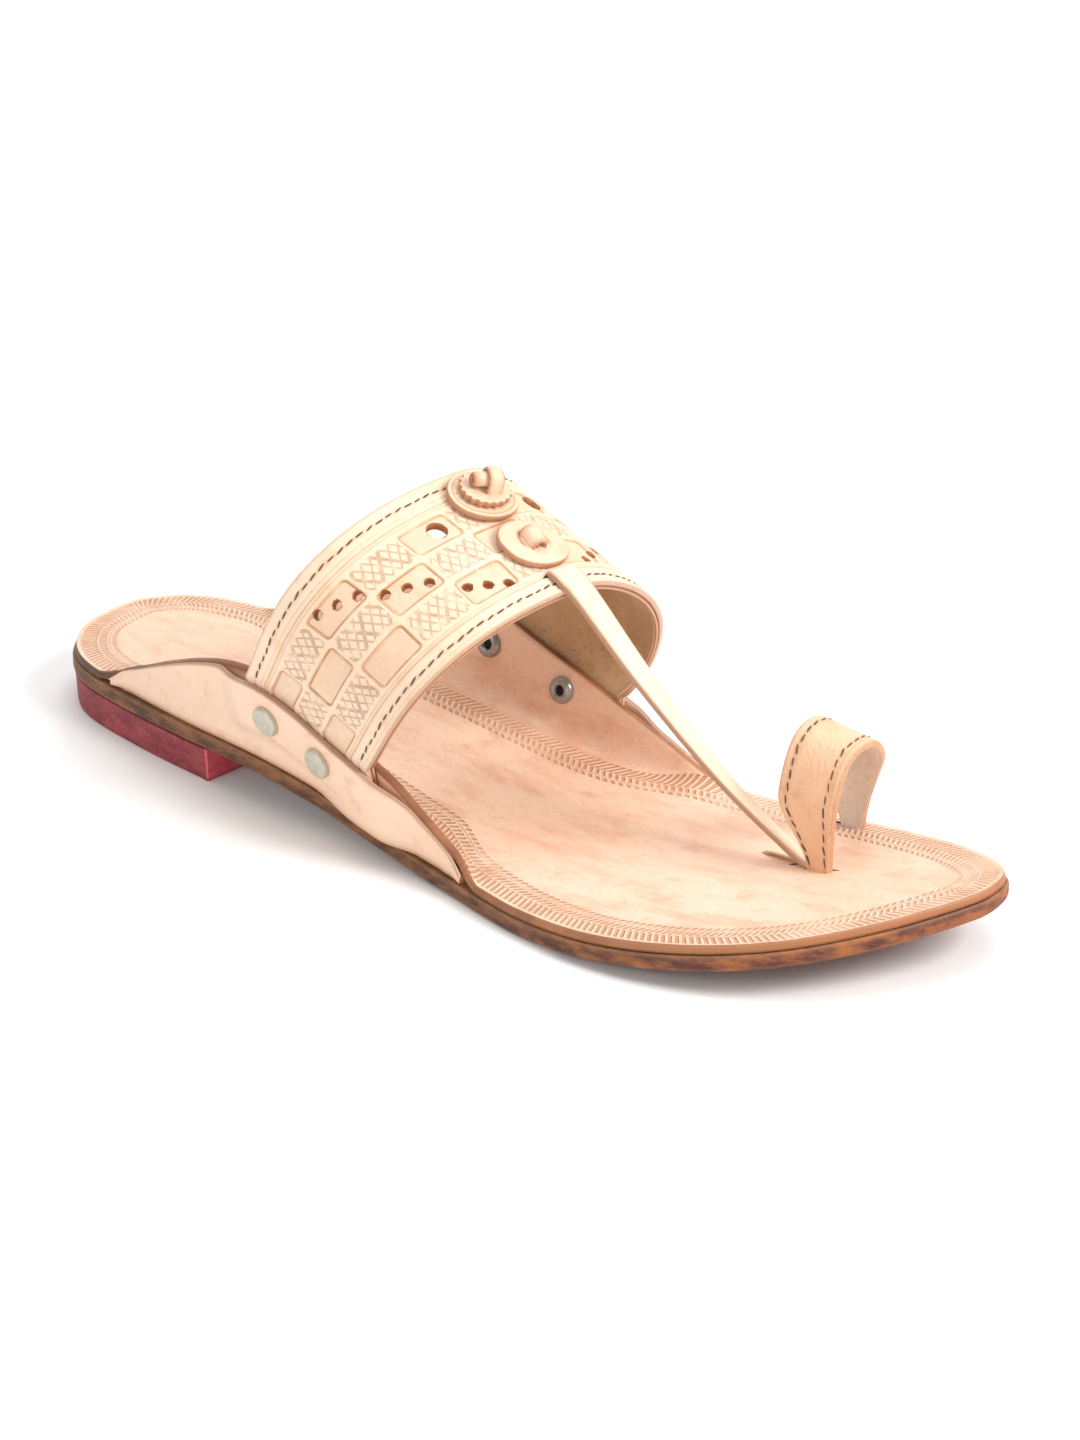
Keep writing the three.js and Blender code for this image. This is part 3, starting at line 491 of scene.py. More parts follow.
def sole_leather():
    r = Recipe("sole_leather", roughness=0.5, specular=0.4, coat=0.08)
    u, v = r.along()
    _, pressed_and_shade, edge = r.mask()
    faint = r.span(r.noise(45, 3.0), 0.3, 0.55, 0.5, 1.0)
    rows = [
        (r.strip(v, 0.2, 4.1, 0.3), 0.45, 1.8, 0.85),
        (r.strip(v, 4.7, 6.7, 0.3), -0.6, 1.8, 0.8),
        (r.strip(v, 8.1, 9.2, 0.25), -0.9, 2.1, 1.05),
    ]
    stamps = None
    for row, lean, pitch, width in rows:
        dash = r.lines(r.math("MULTIPLY_ADD", v, lean, u), pitch, width, 0.4)
        dash = r.math("MULTIPLY", dash, row)
        stamps = dash if stamps is None else r.math("MAXIMUM", stamps, dash)
    crease = r.math("MAXIMUM", r.strip(v, 4.0, 4.2, 0.18), r.strip(v, 7.3, 7.5, 0.18))
    marks = r.math("MULTIPLY", r.math("MAXIMUM", stamps, r.math("MULTIPLY", crease, 0.6)), faint)
    colour = clouded(r, PEACH, PEACH_LIGHT, PEACH_DARK, 18.0)
    streaks = r.noise(45, 5.0, 0.65, stretch=(1.0, 3.5, 3.5))
    colour = r.blend(r.span(streaks, 0.44, 0.72, 0.0, 0.55), colour, PEACH_DARK)
    specks = r.noise(900, 3.0, 0.7)
    colour = r.blend(r.span(specks, 0.5, 0.68, 0.0, 0.35), colour, PEACH_DARK)
    colour = r.blend(r.math("MULTIPLY", marks, 0.75), colour, PRESSED_AND_SHADE_TAN)
    # green holds only painted shade here: the corner where each ear turns up
    colour = r.blend(r.math("MULTIPLY", pressed_and_shade, 0.7), colour, PRESSED_AND_SHADE_TAN)
    split = r.node("ShaderNodeSeparateXYZ")
    r.feed(split.inputs[0], r.place)
    # the cut edge: brown and rust in patches, darkened towards the heel's back and rustier towards the toe
    edge_tone = r.blend(r.span(r.noise(120, 3.0), 0.35, 0.65), EDGE_BROWN, EDGE_RUST)
    edge_tone = r.blend(r.span(split.outputs[0], -0.01, 0.03, 1.0, 0.0), edge_tone, EDGE_DARK)
    edge_tone = r.blend(r.span(split.outputs[0], 0.16, 0.21), edge_tone, EDGE_RUST)
    colour = r.blend(edge, colour, edge_tone)
    height = r.math("MULTIPLY_ADD", marks, -0.9, 1.0)
    height = r.math("MULTIPLY_ADD", specks, 0.22, height)
    height = r.math("MULTIPLY_ADD", r.pores(1400), 0.14, height)
    return r.finish(colour, height, 0.5, r.span(r.noise(55, 3.0), 0.3, 0.7, 0.46, 0.62))


def plain_leather(name, base, light, dark, edge_colour, grain=0.26):
    r = Recipe(name, roughness=0.5, specular=0.4, coat=0.08)
    _, pressed_and_shade, edge = r.mask()
    colour = clouded(r, base, light, dark, 24.0)
    # green: pressed tan, and painted shade at the ears' foot and in grooves and cuts
    colour = r.blend(r.math("MULTIPLY", pressed_and_shade, 0.9), colour, PRESSED_AND_SHADE_TAN)
    colour = r.blend(edge, colour, edge_colour)
    height = r.math("MULTIPLY_ADD", r.noise(950, 3.0, 0.6), 0.6, r.math("MULTIPLY", r.pores(1300), 0.4))
    return r.finish(colour, height, grain, r.span(r.noise(70, 3.0), 0.3, 0.7, 0.44, 0.6))


tooled = tooled_leather()
stamped = sole_leather()
ear_hide = plain_leather("ear_leather", (0.88, 0.59, 0.42), (0.89, 0.64, 0.48), PEACH_DARK, EDGE_BROWN)
strap_hide = plain_leather("strap_leather", CREAM, CREAM_LIGHT, CREAM_DARK, (0.34, 0.15, 0.065))
loop_hide = plain_leather("loop_leather", (0.80, 0.46, 0.27), (0.85, 0.56, 0.37),
                          (0.62, 0.30, 0.15), (0.42, 0.18, 0.075), 0.45)
button_hide = plain_leather("button_leather", (0.82, 0.56, 0.39), (0.86, 0.64, 0.48),
                            (0.68, 0.37, 0.21), (0.42, 0.16, 0.06), 0.34)


# %% [markdown]
# ## Rough sides, soles and metal
#
# A hide's flesh side is napped, so it gets a dull rough finish with fibres for bump. The
# outsole's edge is dyed dark and polished unevenly. The heel is dyed red; its sides are painted
# dark as painted shade and its front bright as painted light. The rivets are dull plated steel,
# and a shiny black stands as the painted shadow in holes and slits.

# %% Mix the other finishes
def flesh_side(name, base, light, dark):
    r = Recipe(name, roughness=0.9, specular=0.15, sheen=0.25)
    fibres = r.noise(900, 5.0, 0.75)
    colour = r.blend(r.span(r.noise(60, 5.0, 0.65), 0.35, 0.65), base, light)
    colour = r.blend(r.span(fibres, 0.5, 0.72, 0.0, 0.7), colour, dark)
    return r.finish(colour, r.math("MULTIPLY_ADD", r.noise(1500, 4.0, 0.7), 0.5, fibres), 0.5)


def outsole_leather():
    r = Recipe("outsole_leather", roughness=0.55, specular=0.3)
    split = r.node("ShaderNodeSeparateXYZ")
    r.feed(split.inputs[0], r.place)
    toward_toe = r.span(split.outputs[0], 0.14, 0.22)
    patches = r.noise(110, 6.0, 0.7, stretch=(1.0, 1.0, 3.0))
    colour = r.blend(r.span(patches, 0.35, 0.68), (0.06, 0.025, 0.014), (0.27, 0.115, 0.052))
    rust = r.blend(r.span(patches, 0.38, 0.66), (0.10, 0.03, 0.025), (0.36, 0.12, 0.04))
    colour = r.blend(toward_toe, colour, rust)
    _, _, edge = r.mask()
    colour = r.blend(r.math("MULTIPLY", edge, 0.75), colour, (0.42, 0.24, 0.12))
    layers = r.noise(260, 3.0, 0.6, stretch=(0.12, 0.12, 3.5))
    height = r.math("MULTIPLY_ADD", r.noise(700, 4.0, 0.65), 0.5, layers)
    return r.finish(colour, height, 0.3, r.span(patches, 0.3, 0.7, 0.5, 0.7))


def heel_leather():
    r = Recipe("heel_leather", roughness=0.6, specular=0.3)
    _, front, edge = r.mask()
    patches = r.noise(120, 4.0, 0.6, stretch=(1.0, 1.0, 2.5))
    # painted shade: the sides are painted dark red; the front below is painted bright pink-red as painted
    # light
    side = r.blend(r.span(patches, 0.35, 0.7), (0.20, 0.026, 0.035), (0.33, 0.055, 0.065))
    grit = r.noise(1300, 3.0, 0.7)
    side = r.blend(r.span(grit, 0.45, 0.7, 0.0, 0.45), side, (0.42, 0.12, 0.12))
    cut = r.blend(r.span(patches, 0.35, 0.7), (0.80, 0.10, 0.13), (0.88, 0.17, 0.2))
    colour = r.blend(front, side, cut)
    specks = r.span(r.noise(800, 2.0), 0.68, 0.74, 0.0, 0.5)
    colour = r.blend(specks, colour, (0.55, 0.2, 0.2))
    colour = r.blend(r.math("MULTIPLY", edge, 0.6), colour, (0.12, 0.015, 0.02))
    return r.finish(colour, r.noise(900, 4.0, 0.65), 0.22)


def rivet_metal(name, colour, roughness):
    r = Recipe(name, roughness=roughness, specular=0.5, metallic=0.7)
    spots = r.noise(700, 4.0, 0.6)
    shade = r.blend(r.span(spots, 0.4, 0.7), colour, tuple(c * 0.84 for c in colour))
    return r.finish(shade, r.noise(1600, 3.0, 0.6), 0.05)


def dark_thread():
    r = Recipe("waxed_thread", roughness=0.65, specular=0.3)
    twist = r.noise(2200, 2.0)
    colour = r.blend(twist, (0.075, 0.038, 0.026), (0.24, 0.13, 0.09))
    return r.finish(colour, twist, 0.1)


band_flesh = flesh_side("band_flesh", (0.50, 0.30, 0.15), (0.66, 0.43, 0.24), (0.36, 0.2, 0.1))
loop_flesh = flesh_side("loop_flesh", (0.78, 0.65, 0.54), (0.88, 0.78, 0.68), (0.58, 0.45, 0.36))
outsole_hide = outsole_leather()
heel_hide = heel_leather()
pale_metal = rivet_metal("plated_cap", (0.60, 0.575, 0.48), 0.5)
dark_metal = rivet_metal("plated_tube", (0.36, 0.36, 0.35), 0.3)
# shiny black: the painted shadow inside the rivet tubes, the thong's slit and the sole's slots
hole_shadow_black = rivet_metal("painted_hole_shadow", (0.03, 0.03, 0.03), 0.7)
thread = dark_thread()
print("finishes:", len(bpy.data.materials))


# %% [markdown]
# ## The sole's layers
#
# Outsole and top sole are skins whose rings lie across the foot, one ring for each pair of
# columns round the outline. A ring goes out along the top, round the edge and back underneath.
# Following the inward directions instead of straight lines across keeps the border and the
# rounded edge even at heel and toe.

# %% Write the ring maker for a layer
ACROSS = 12


def layer_rings(half, level):
    """half(side, at, arc) gives arrays (columns, points) of distance inward and height over
    `level`, from the middle of the underside round the edge to the middle of the top, and the
    pattern and mask of each point. `level` turns a distance along the sole into a height."""
    sides = {}
    for side in (OUTER, INNER):
        at, turn, arc = columns(side)
        inside_by, up, across, mask = half(side, at, arc)
        place = at[:, None, :] + turn[:, None, :] * inside_by[:, :, None]
        z = level(np.clip(place[:, :, 0], 0, None)) + up
        points = np.concatenate([place, z[:, :, None]], 2)
        pattern = np.stack([np.broadcast_to(arc[:, None], across.shape), across], 2)
        sides[side] = (points, pattern, mask)
    left, right = sides[OUTER], sides[INNER]
    share = (np.arange(1, ACROSS) / ACROSS)[None, :, None]

    def middle(k):
        return mix(left[k][:, -1:, :], right[k][:, -1:, :], share)
    bridge = middle(0)
    base = mix(level(left[0][:, -1:, 0]), level(right[0][:, -1:, 0]), share[:, :, 0])
    lift = bridge[:, :, 2] - base
    bridge[:, :, 2] = level(bridge[:, :, 0]) + lift
    centre_pattern = middle(1)
    depth = 6 * np.sin(np.pi * share[:, :, 0])
    centre_pattern[:, :, 1] += depth
    joined = []
    for k, centre in ((0, bridge), (1, centre_pattern), (2, middle(2))):
        joined.append(np.concatenate([left[k], centre, right[k][:, ::-1]], 1))
    return joined


EDGE_WOBBLE = 0.12
WOBBLE_FADE = 8


def outsole_half(side, at, arc):
    # inward from the edge, up from the bottom, how burnished
    profile = [
        (10, 0.0, 0), (4, 0.0, 0), (1.2, 0.0, 0), (0.5, 0.16, 0.1), (0.15, 0.55, 0.2),
        (0, 1.2, 0), (0, 2.2, 0), (0, OUTSOLE_THICK - 0.8, 0.1),
        (0.1, OUTSOLE_THICK - 0.35, 0.35), (0.35, OUTSOLE_THICK - 0.08, 0.5),
        (0.8, OUTSOLE_THICK, 0.2), (10, OUTSOLE_THICK, 0),
    ]
    inset = np.array([row[0] for row in profile])[None, :] + np.zeros((len(arc), 1))
    up = np.array([row[1] for row in profile])[None, :] + np.zeros((len(arc), 1))
    fade = smooth(0, WOBBLE_FADE, arc) * smooth(0, WOBBLE_FADE, arc[-1] - arc)
    wobble = (EDGE_WOBBLE * ripple(arc, arc * 0.37, 5.0, side) * fade)[:, None]
    inset = inset + np.abs(wobble) * (inset < 1)
    mask = np.zeros((len(arc), len(profile), 3))
    mask[:, :, 2] = np.array([row[2] for row in profile])
    return inset, up, inset.copy(), mask


rings, pattern, mask = layer_rings(outsole_half, sole_bottom)
outsole = skin("outsole_layer", rings, [outsole_hide], pattern, mask, caps=False, sharp=60)
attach(outsole, "root")
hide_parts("outsole")


# %% [markdown]
# ## The top sole with its turned-up ears
#
# The border's strokes start two millimetres in from the cut edge at heel and toe, and at the
# foot of the fold where an ear stands. The pattern coordinate across the sole is measured from
# there, so one finish stamps the border all round. The last few points round off the cut edge.

# %% Make the top sole
BORDER_FROM_EDGE = 2.2
BORDER_FROM_FOLD = 10.2
LEVEL_RUNS = [-7.5, -5, -2.5, -1, 0, 1.5, 3]
TURNED_SHARES = [0, 0.05, 0.1, 0.16, 0.22, 0.28, 0.36, 0.45, 0.55, 0.65, 0.75, 0.85, 0.93]
UNDER_SHARES = [0.9, 0.7, 0.5, 0.36, 0.24, 0.16, 0.08, 0]


def top_sole_half(side, at, arc):
    s = at[:, 0]
    extra = upturn(s, side)[:, None]
    end = FOLD_RUN + extra
    under = [(0.0 * extra + run, INSOLE_THICK) for run in (-7.5, 0)]
    under += [(FOLD_RUN + extra * share, INSOLE_THICK) for share in reversed(UNDER_SHARES)]
    rim = [(end - 0.35, INSOLE_THICK), (end - 0.08, INSOLE_THICK - 0.3), (end, INSOLE_THICK - 0.8),
           (end, 0.8), (end - 0.1, 0.32), (end - 0.4, 0.06)]
    upper = [(FOLD_RUN + extra * share, 0.0) for share in reversed(TURNED_SHARES)]
    upper += [(0.0 * extra + run, 0.0) for run in reversed(LEVEL_RUNS)]
    rows = under + rim + upper
    run = np.concatenate([row[0] for row in rows], 1)
    off = np.concatenate([np.full_like(extra, row[1]) for row in rows], 1)
    across, up = edge_path(run, off)
    ear = ear_height(s, side)
    inside_by = edge_reach(s, side)[:, None] - across
    lean_wave = EDGE_WOBBLE * ripple(arc, arc * 0.5, 7.0, side)[:, None] * (run > FOLD_RUN)
    inside_by = inside_by + lean_wave * smooth(0, 6, ear)[:, None]
    start = mix(BORDER_FROM_EDGE, BORDER_FROM_FOLD, smooth(0, 14, ear))
    border = edge_reach(s, side)[:, None] - run - start[:, None]
    mask = np.zeros((*run.shape, 3))
    rim_from = len(under)
    for k, strength in enumerate((1.0, 1.0, 1.0, 1.0, 0.9, 0.3)):
        mask[:, rim_from + k, 2] = strength
    # painted shade: green darkens the top face along the fold, in the corner where each ear turns up
    fold_line = np.abs(run - FOLD_RUN - 0.2) < 0.3
    mask[:, :, 1] = 0.35 * (fold_line & (off < 0.01)) * smooth(1, 6, ear)[:, None]
    return inside_by, up, border, mask


rings, pattern, mask = layer_rings(top_sole_half, insole_top)
top_sole = skin("top_sole", rings, [stamped], pattern, mask, caps=False, sharp=60)
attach(top_sole, "root")
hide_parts("insole")


# %% [markdown]
# ## The heel block
#
# The heel is a stack cut to the outline's back and squared off in front. Its rings lie level,
# one above the other, each the same plan drawn in by a little: more at the worn bottom edge.

# %% Make the heel
CORNER = 0.9
CORNER_CUT = 0.25
HEEL_INSET = 0.3


def heel_plan():
    outer_s, inner_s = CHAINS[OUTER][0], CHAINS[INNER][0]
    back = np.vstack([outer_s[outer_s[:, 0] < HEEL_FRONT - CORNER][::-1],
                      inner_s[inner_s[:, 0] < HEEL_FRONT - CORNER][1:]])
    low, high = float(edge_y(HEEL_FRONT, OUTER)), float(edge_y(HEEL_FRONT, INNER))
    front = [[HEEL_FRONT - CORNER_CUT, high - CORNER_CUT]]
    front += [[HEEL_FRONT, y] for y in np.linspace(high - CORNER, low + CORNER, 14)]
    front += [[HEEL_FRONT - CORNER_CUT, low + CORNER_CUT]]
    plan = np.vstack([back, front])
    return plan, np.array([0.0] * len(back) + [1.0] * len(front))


plan, is_front = heel_plan()
around = np.roll(plan, -1, axis=0) - np.roll(plan, 1, axis=0)
around /= np.linalg.norm(around, axis=1)[:, None]
into = np.stack([around[:, 1], -around[:, 0]], 1)
if (plan + into)[:, 0].max() > plan[:, 0].max():
    into = -into
# inward from the plan, up from the floor, how dark the edge is
HEEL_ROWS = [
    (1.6, 0.0, 0), (0.85, 0.0, 0.3), (0.6, 0.25, 0.5), (0.5, 0.8, 0), (0.4, 2.9, 0),
    (0.45, 3.0, 0.15), (0.4, 3.1, 0), (0.3, 5.9, 0), (0.35, 6.0, 0.15), (0.3, 6.1, 0),
    (0.15, 8.4, 0), (0.2, 8.75, 0.5), (0.5, HEEL_HEIGHT - GLUE, 0.3),
    (1.5, HEEL_HEIGHT - GLUE, 0),
]
rings, mask = [], []
for inset, z, edge in HEEL_ROWS:
    moved = plan + into * (inset + HEEL_INSET)
    rings.append(np.column_stack([moved, np.full(len(plan), z)]))
    # green marks the front face, which the finish paints bright as painted light
    mask.append(np.column_stack([0 * is_front, is_front, np.full(len(plan), edge)]))
heel = skin("heel_stack", rings, [heel_hide], None, mask, caps=True, sharp=40)
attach(heel, "root")
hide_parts("heel_block")


# %% [markdown]
# ## The outer ears
#
# Outside each turned-up side lies a second ear of leather, and the band's foot is held between
# the two. Where the foot lies, the outer ear stands off by the band's thickness. Towards its
# two ends the ear is skived, that is, pared thinner.

# %% Make the outer ears
BAND_REAR = {
    "outer": 0.35, "inner": 0.361, "crown": 0.433, "crown_y": 8.6, "top": 80.8,
    "outer_square": 2.65, "inner_square": 2.22, "outer_swell": 1.14, "inner_swell": 1.54,
}
BAND_FRONT = {
    "outer": 0.498, "inner": 0.534, "crown": 0.585, "crown_y": 5.9, "top": 63.4,
    "outer_square": 2.64, "inner_square": 1.9, "outer_swell": 0.87, "inner_swell": 3.0,
}
OUTER_EAR = {"rear": 0.128, OUTER: 0.606, INNER: 0.655}
EAR_LOW_TURN = 0.47
EAR_STATIONS = 120
EAR_REAR_SKIVED = 0.45
EAR_FRONT_SKIVED = 0.6


def ear_gap(s, side, below):
    key = "outer" if side == OUTER else "inner"
    rear, front = BAND_REAR[key] * LENGTH, BAND_FRONT[key] * LENGTH
    held = smooth(rear - 14, rear - 2, s) * (1 - smooth(front + 2, front + 14, s))
    high = 1 - smooth(BAND_SINK + 1, BAND_SINK + 6, below)
    return INSOLE_THICK + CLEAR + (BAND_THICK + CLEAR) * held * high


def outer_ear(side, name):
    stations = np.linspace(OUTER_EAR["rear"] * LENGTH, OUTER_EAR[side] * LENGTH, EAR_STATIONS)
    rings, pattern, mask = [], [], []
    for s in stations:
        extra = float(upturn(s, side))
        end = FOLD_RUN + extra
        low = FOLD_RUN + FOLD_RADIUS * EAR_LOW_TURN
        level = FOLD_RUN + min(extra * 0.9, FOLD_RADIUS * TURN)
        foot = float(outsole_top(s)) + GLUE
        thick = EAR_THICK * mix(EAR_REAR_SKIVED, 1, float(smooth(0.13, 0.3, s / LENGTH)))
        thick *= mix(1, EAR_FRONT_SKIVED, float(smooth(0.5, OUTER_EAR[side], s / LENGTH)))

        def face(run, out):
            y, z = ear_point(s, side, run, ear_gap(s, side, end - run) + out)
            return [float(s), float(y), float(z)]
        soft = min(0.45, (end - level) * 0.3 + 0.05)
        bend = [face(mix(low, level, t), 0) for t in (0, 0.33, 0.67)]
        inner = [face(mix(level, end - soft, t), 0) for t in np.linspace(0, 1, 9)]
        brow = [face(end - soft * 0.35, 0.14), face(end, thick * 0.35), face(end, thick * 0.65),
                face(end - soft * 0.35, thick - 0.18)]
        outer = [face(mix(end - soft, level, t), thick) for t in np.linspace(0, 1, 9)]
        last = outer[-1][1]
        skirt = [[float(s), last, mix(outer[-1][2], foot, t)] for t in (0.35, 0.7)]
        skirt += [[float(s), last - side * 0.12, foot + 0.2], [float(s), last - side * 0.5, foot]]
        ring = bend + inner + brow + outer + skirt + [[float(s), face(low, 0)[1], foot]]
        rings.append(ring)
        pattern.append([[s, k * 2.0] for k in range(len(ring))])
        shade = np.zeros((len(ring), 3))
        brow_from = len(bend) + len(inner)
        skirt_from = brow_from + len(brow) + len(outer)
        shade[brow_from:brow_from + len(brow), 2] = (0.35, 0.7, 0.7, 0.3)
        # painted shade: green darkens the skirt down to the ear's foot on the outsole
        shade[skirt_from:skirt_from + len(skirt), 1] = (0.0, 0.25, 0.8, 1.0)
        mask.append(shade)
    piece = skin(name, rings, [ear_hide], pattern, mask, caps=True, sharp=60)
    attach(piece, "root")
    return piece


ear_lateral = outer_ear(OUTER, "outer_ear_lateral")
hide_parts("ear_lateral")
ear_medial = outer_ear(INNER, "outer_ear_medial")
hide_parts("ear_medial")


# %% [markdown]
# ## The band's surface
#
# The band is one strip bent over the instep. Its rear and front edges are two arches, each with
# its own feet, crown and squareness, and every line between them is a mixture of the two. The
# surface is sampled once on a fine grid, and everything that lies on the band is then placed on
# it by its shares: u along the strip from the outer foot, v from the rear edge to the front.

# %% Sample the band's surface
CROWN_REACH = 0.71
FOOT_SHARE = 0.16
ARCH_STEPS = 240
BAND_U, BAND_V = 470, 48


def arch(v):
    """Points of one arch, with the share of the arch's length at each point."""
    at = {key: mix(BAND_REAR[key], BAND_FRONT[key], v) for key in BAND_REAR}
    points = []
    for i in range(ARCH_STEPS + 1):
        t = i / ARCH_STEPS
        side = OUTER if t < 0.5 else INNER
        key = "outer" if side == OUTER else "inner"
        foot_s = at[key] * LENGTH
        share = 1 - abs(2 * t - 1)
        ride = INSOLE_THICK + CLEAR + BAND_THICK / 2
        top = float(ear_top(foot_s, side))
        if share < FOOT_SHARE:
            sink = min(BAND_SINK, float(ear_height(foot_s, side)) - FOLD_RADIUS - 0.5)
            z = top - sink * (1 - share / FOOT_SHARE)
            points.append([foot_s, float(ear_face(foot_s, side, z, ride)), z])
            continue
        turn = (share - FOOT_SHARE) / (1 - FOOT_SHARE) * math.pi / 2
        foot_y = float(ear_face(foot_s, side, top, ride))
        rise = at["top"] - BAND_THICK / 2 - top
        square = at[key + "_square"]
        swell = rise * math.tan(EAR_LEAN) * at[key + "_swell"]
        y = (at["crown_y"] + (foot_y - at["crown_y"]) * max(0.0, math.cos(turn)) ** (2 / square)
             + side * swell * 0.5 * math.sin(2 * turn) * (1 - turn / (math.pi / 2)))
        z = top + rise * math.sin(turn) ** (2 / square)
        s = foot_s + (at["crown"] * LENGTH - foot_s) * math.sin(turn) ** CROWN_REACH
        points.append([s, y, z])
    points = np.array(points)
    arc = np.concatenate([[0], np.cumsum(np.linalg.norm(np.diff(points, axis=0), axis=1))])
    return points, arc / arc[-1], arc[-1]


shares = np.linspace(0, 1, BAND_U + 1)
middle = np.zeros((BAND_U + 1, BAND_V + 1, 3))
crown_shares = []
for column in range(BAND_V + 1):
    points, share_at, band_length = arch(column / BAND_V)
    crown_shares.append(share_at[ARCH_STEPS // 2])
    for axis in range(3):
        middle[:, column, axis] = np.interp(shares, share_at, points[:, axis])
along_band = np.gradient(middle, axis=0)
across_band = np.gradient(middle, axis=1)
normal = np.cross(across_band, along_band)
normal /= np.linalg.norm(normal, axis=2)[:, :, None]
BAND_WIDTH = float(np.linalg.norm(middle[BAND_U // 2, 0] - middle[BAND_U // 2, -1]))
BAND_REACH = float(band_length)


def look_up(grid, u, v):
    """The grid's value at shares u and v, by straight mixing of its four neighbours."""
    x = np.clip(np.asarray(u, float), 0, 1) * BAND_U
    y = np.clip(np.asarray(v, float), 0, 1) * BAND_V
    i = np.minimum(x.astype(int), BAND_U - 1)
    j = np.minimum(y.astype(int), BAND_V - 1)
    p, q = (x - i)[..., None], (y - j)[..., None]
    return ((grid[i, j] * (1 - p) + grid[i + 1, j] * p) * (1 - q)
            + (grid[i, j + 1] * (1 - p) + grid[i + 1, j + 1] * p) * q)


def on_band(u, v, off=0.0):
    u, v = np.broadcast_arrays(np.asarray(u, float), np.asarray(v, float))
    out = look_up(normal, u, v)
    out = out / np.linalg.norm(out, axis=-1)[..., None]
    return look_up(middle, u, v) + out * np.asarray(off, float)[..., None]


def crown_share(v):
    return float(np.interp(v, np.linspace(0, 1, BAND_V + 1), crown_shares))


print("band width at the crown:", round(BAND_WIDTH, 1), "length:", round(BAND_REACH, 1))


# %% [markdown]
# ## Tooling on the band
#
# Three rows of squares run along the band between creased lines. Smooth sunk squares and
# hatched squares take turns, like a draughtboard. The sunk ones are real relief: the surface
# is lowered inside each rounded square, a little deeper along its border. The hatched ones
# are marked in the mask and cut by the finish.

# %% Lay out the tooling
SQUARE_PITCH = 0.0868
FIRST_SQUARE = 0.1216
SQUARE_ROWS = [(0.215, 0.395), (0.42, 0.605), (0.635, 0.825)]
SQUARES_ALONG = 9
SQUARE_GAP = 0.35
SUNK = 0.34
BORDER_SUNK = 0.24
THREAD_GROOVE = 0.22
THREAD_GROOVE_WIDTH = 0.6
CREASES = [(0.128, 0.14), (0.16, 0.32), (0.182, 0.2), (0.848, 0.2), (0.868, 0.32), (0.965, 0.16)]
STITCH_ROWS = (0.075, 0.93)


def rounded_square(u, v, low_u, high_u, low_v, high_v, corner=1.3):
    """Signed distance in mm to a rounded square on the band, negative inside."""
    half_u, half_v = (high_u - low_u) / 2 * BAND_REACH, (high_v - low_v) / 2 * BAND_WIDTH
    x = np.abs((u - (low_u + high_u) / 2) * BAND_REACH) - half_u + corner
    y = np.abs((v - (low_v + high_v) / 2) * BAND_WIDTH) - half_v + corner
    outside = np.hypot(np.maximum(x, 0), np.maximum(y, 0))
    return outside + np.minimum(np.maximum(x, y), 0) - corner


def tooling(u, v):
    """Relief in mm and the paint mask, for arrays of shares."""
    relief = 0.1 * ripple(u * BAND_REACH, v * BAND_WIDTH, 8.0)
    mask = np.zeros((*u.shape, 3))
    for row, (low_v, high_v) in enumerate(SQUARE_ROWS):
        for column in range(-1, SQUARES_ALONG + 1):
            low_u = FIRST_SQUARE + column * SQUARE_PITCH
            inset = SQUARE_GAP / BAND_REACH
            far = rounded_square(u, v, low_u + inset, low_u + SQUARE_PITCH - inset, low_v, high_v)
            if (row + column) % 2 == 1:
                sunk = 1 - smooth(-0.45, 0.15, far)
                border = np.exp(-((far + 0.2) / 0.27) ** 2)
                relief -= SUNK * sunk + BORDER_SUNK * border
                # green paints the sunk squares' borders and floors tan: pressed leather, and painted shade
                # in the hollows
                mask[..., 1] = np.maximum(mask[..., 1], 1.15 * border)
                mask[..., 1] = np.maximum(mask[..., 1], 0.22 * sunk)
            else:
                mask[..., 0] = np.maximum(mask[..., 0], 1 - smooth(-0.5, 0.1, far))
    # creases and stitch grooves are painted tan the same way: pressed leather, and painted shade in them
    for line, depth in CREASES:
        groove = np.exp(-((v - line) * BAND_WIDTH / 0.28) ** 2)
        relief -= depth * groove
        mask[..., 1] = np.maximum(mask[..., 1], groove * depth * 1.6)
    for line in STITCH_ROWS:
        groove = np.exp(-((v - line) * BAND_WIDTH / THREAD_GROOVE_WIDTH) ** 2)
        relief -= THREAD_GROOVE * groove
        mask[..., 1] = np.maximum(mask[..., 1], 0.22 * groove)
    return relief, mask


# %% [markdown]
# ## The band
#
# A ring of the band goes over the top from rear to front edge, down the front edge, back
# underneath and up the rear edge. Two leathers are glued together, so each edge has a groove
# between its plies. The flesh side underneath has its own finish.

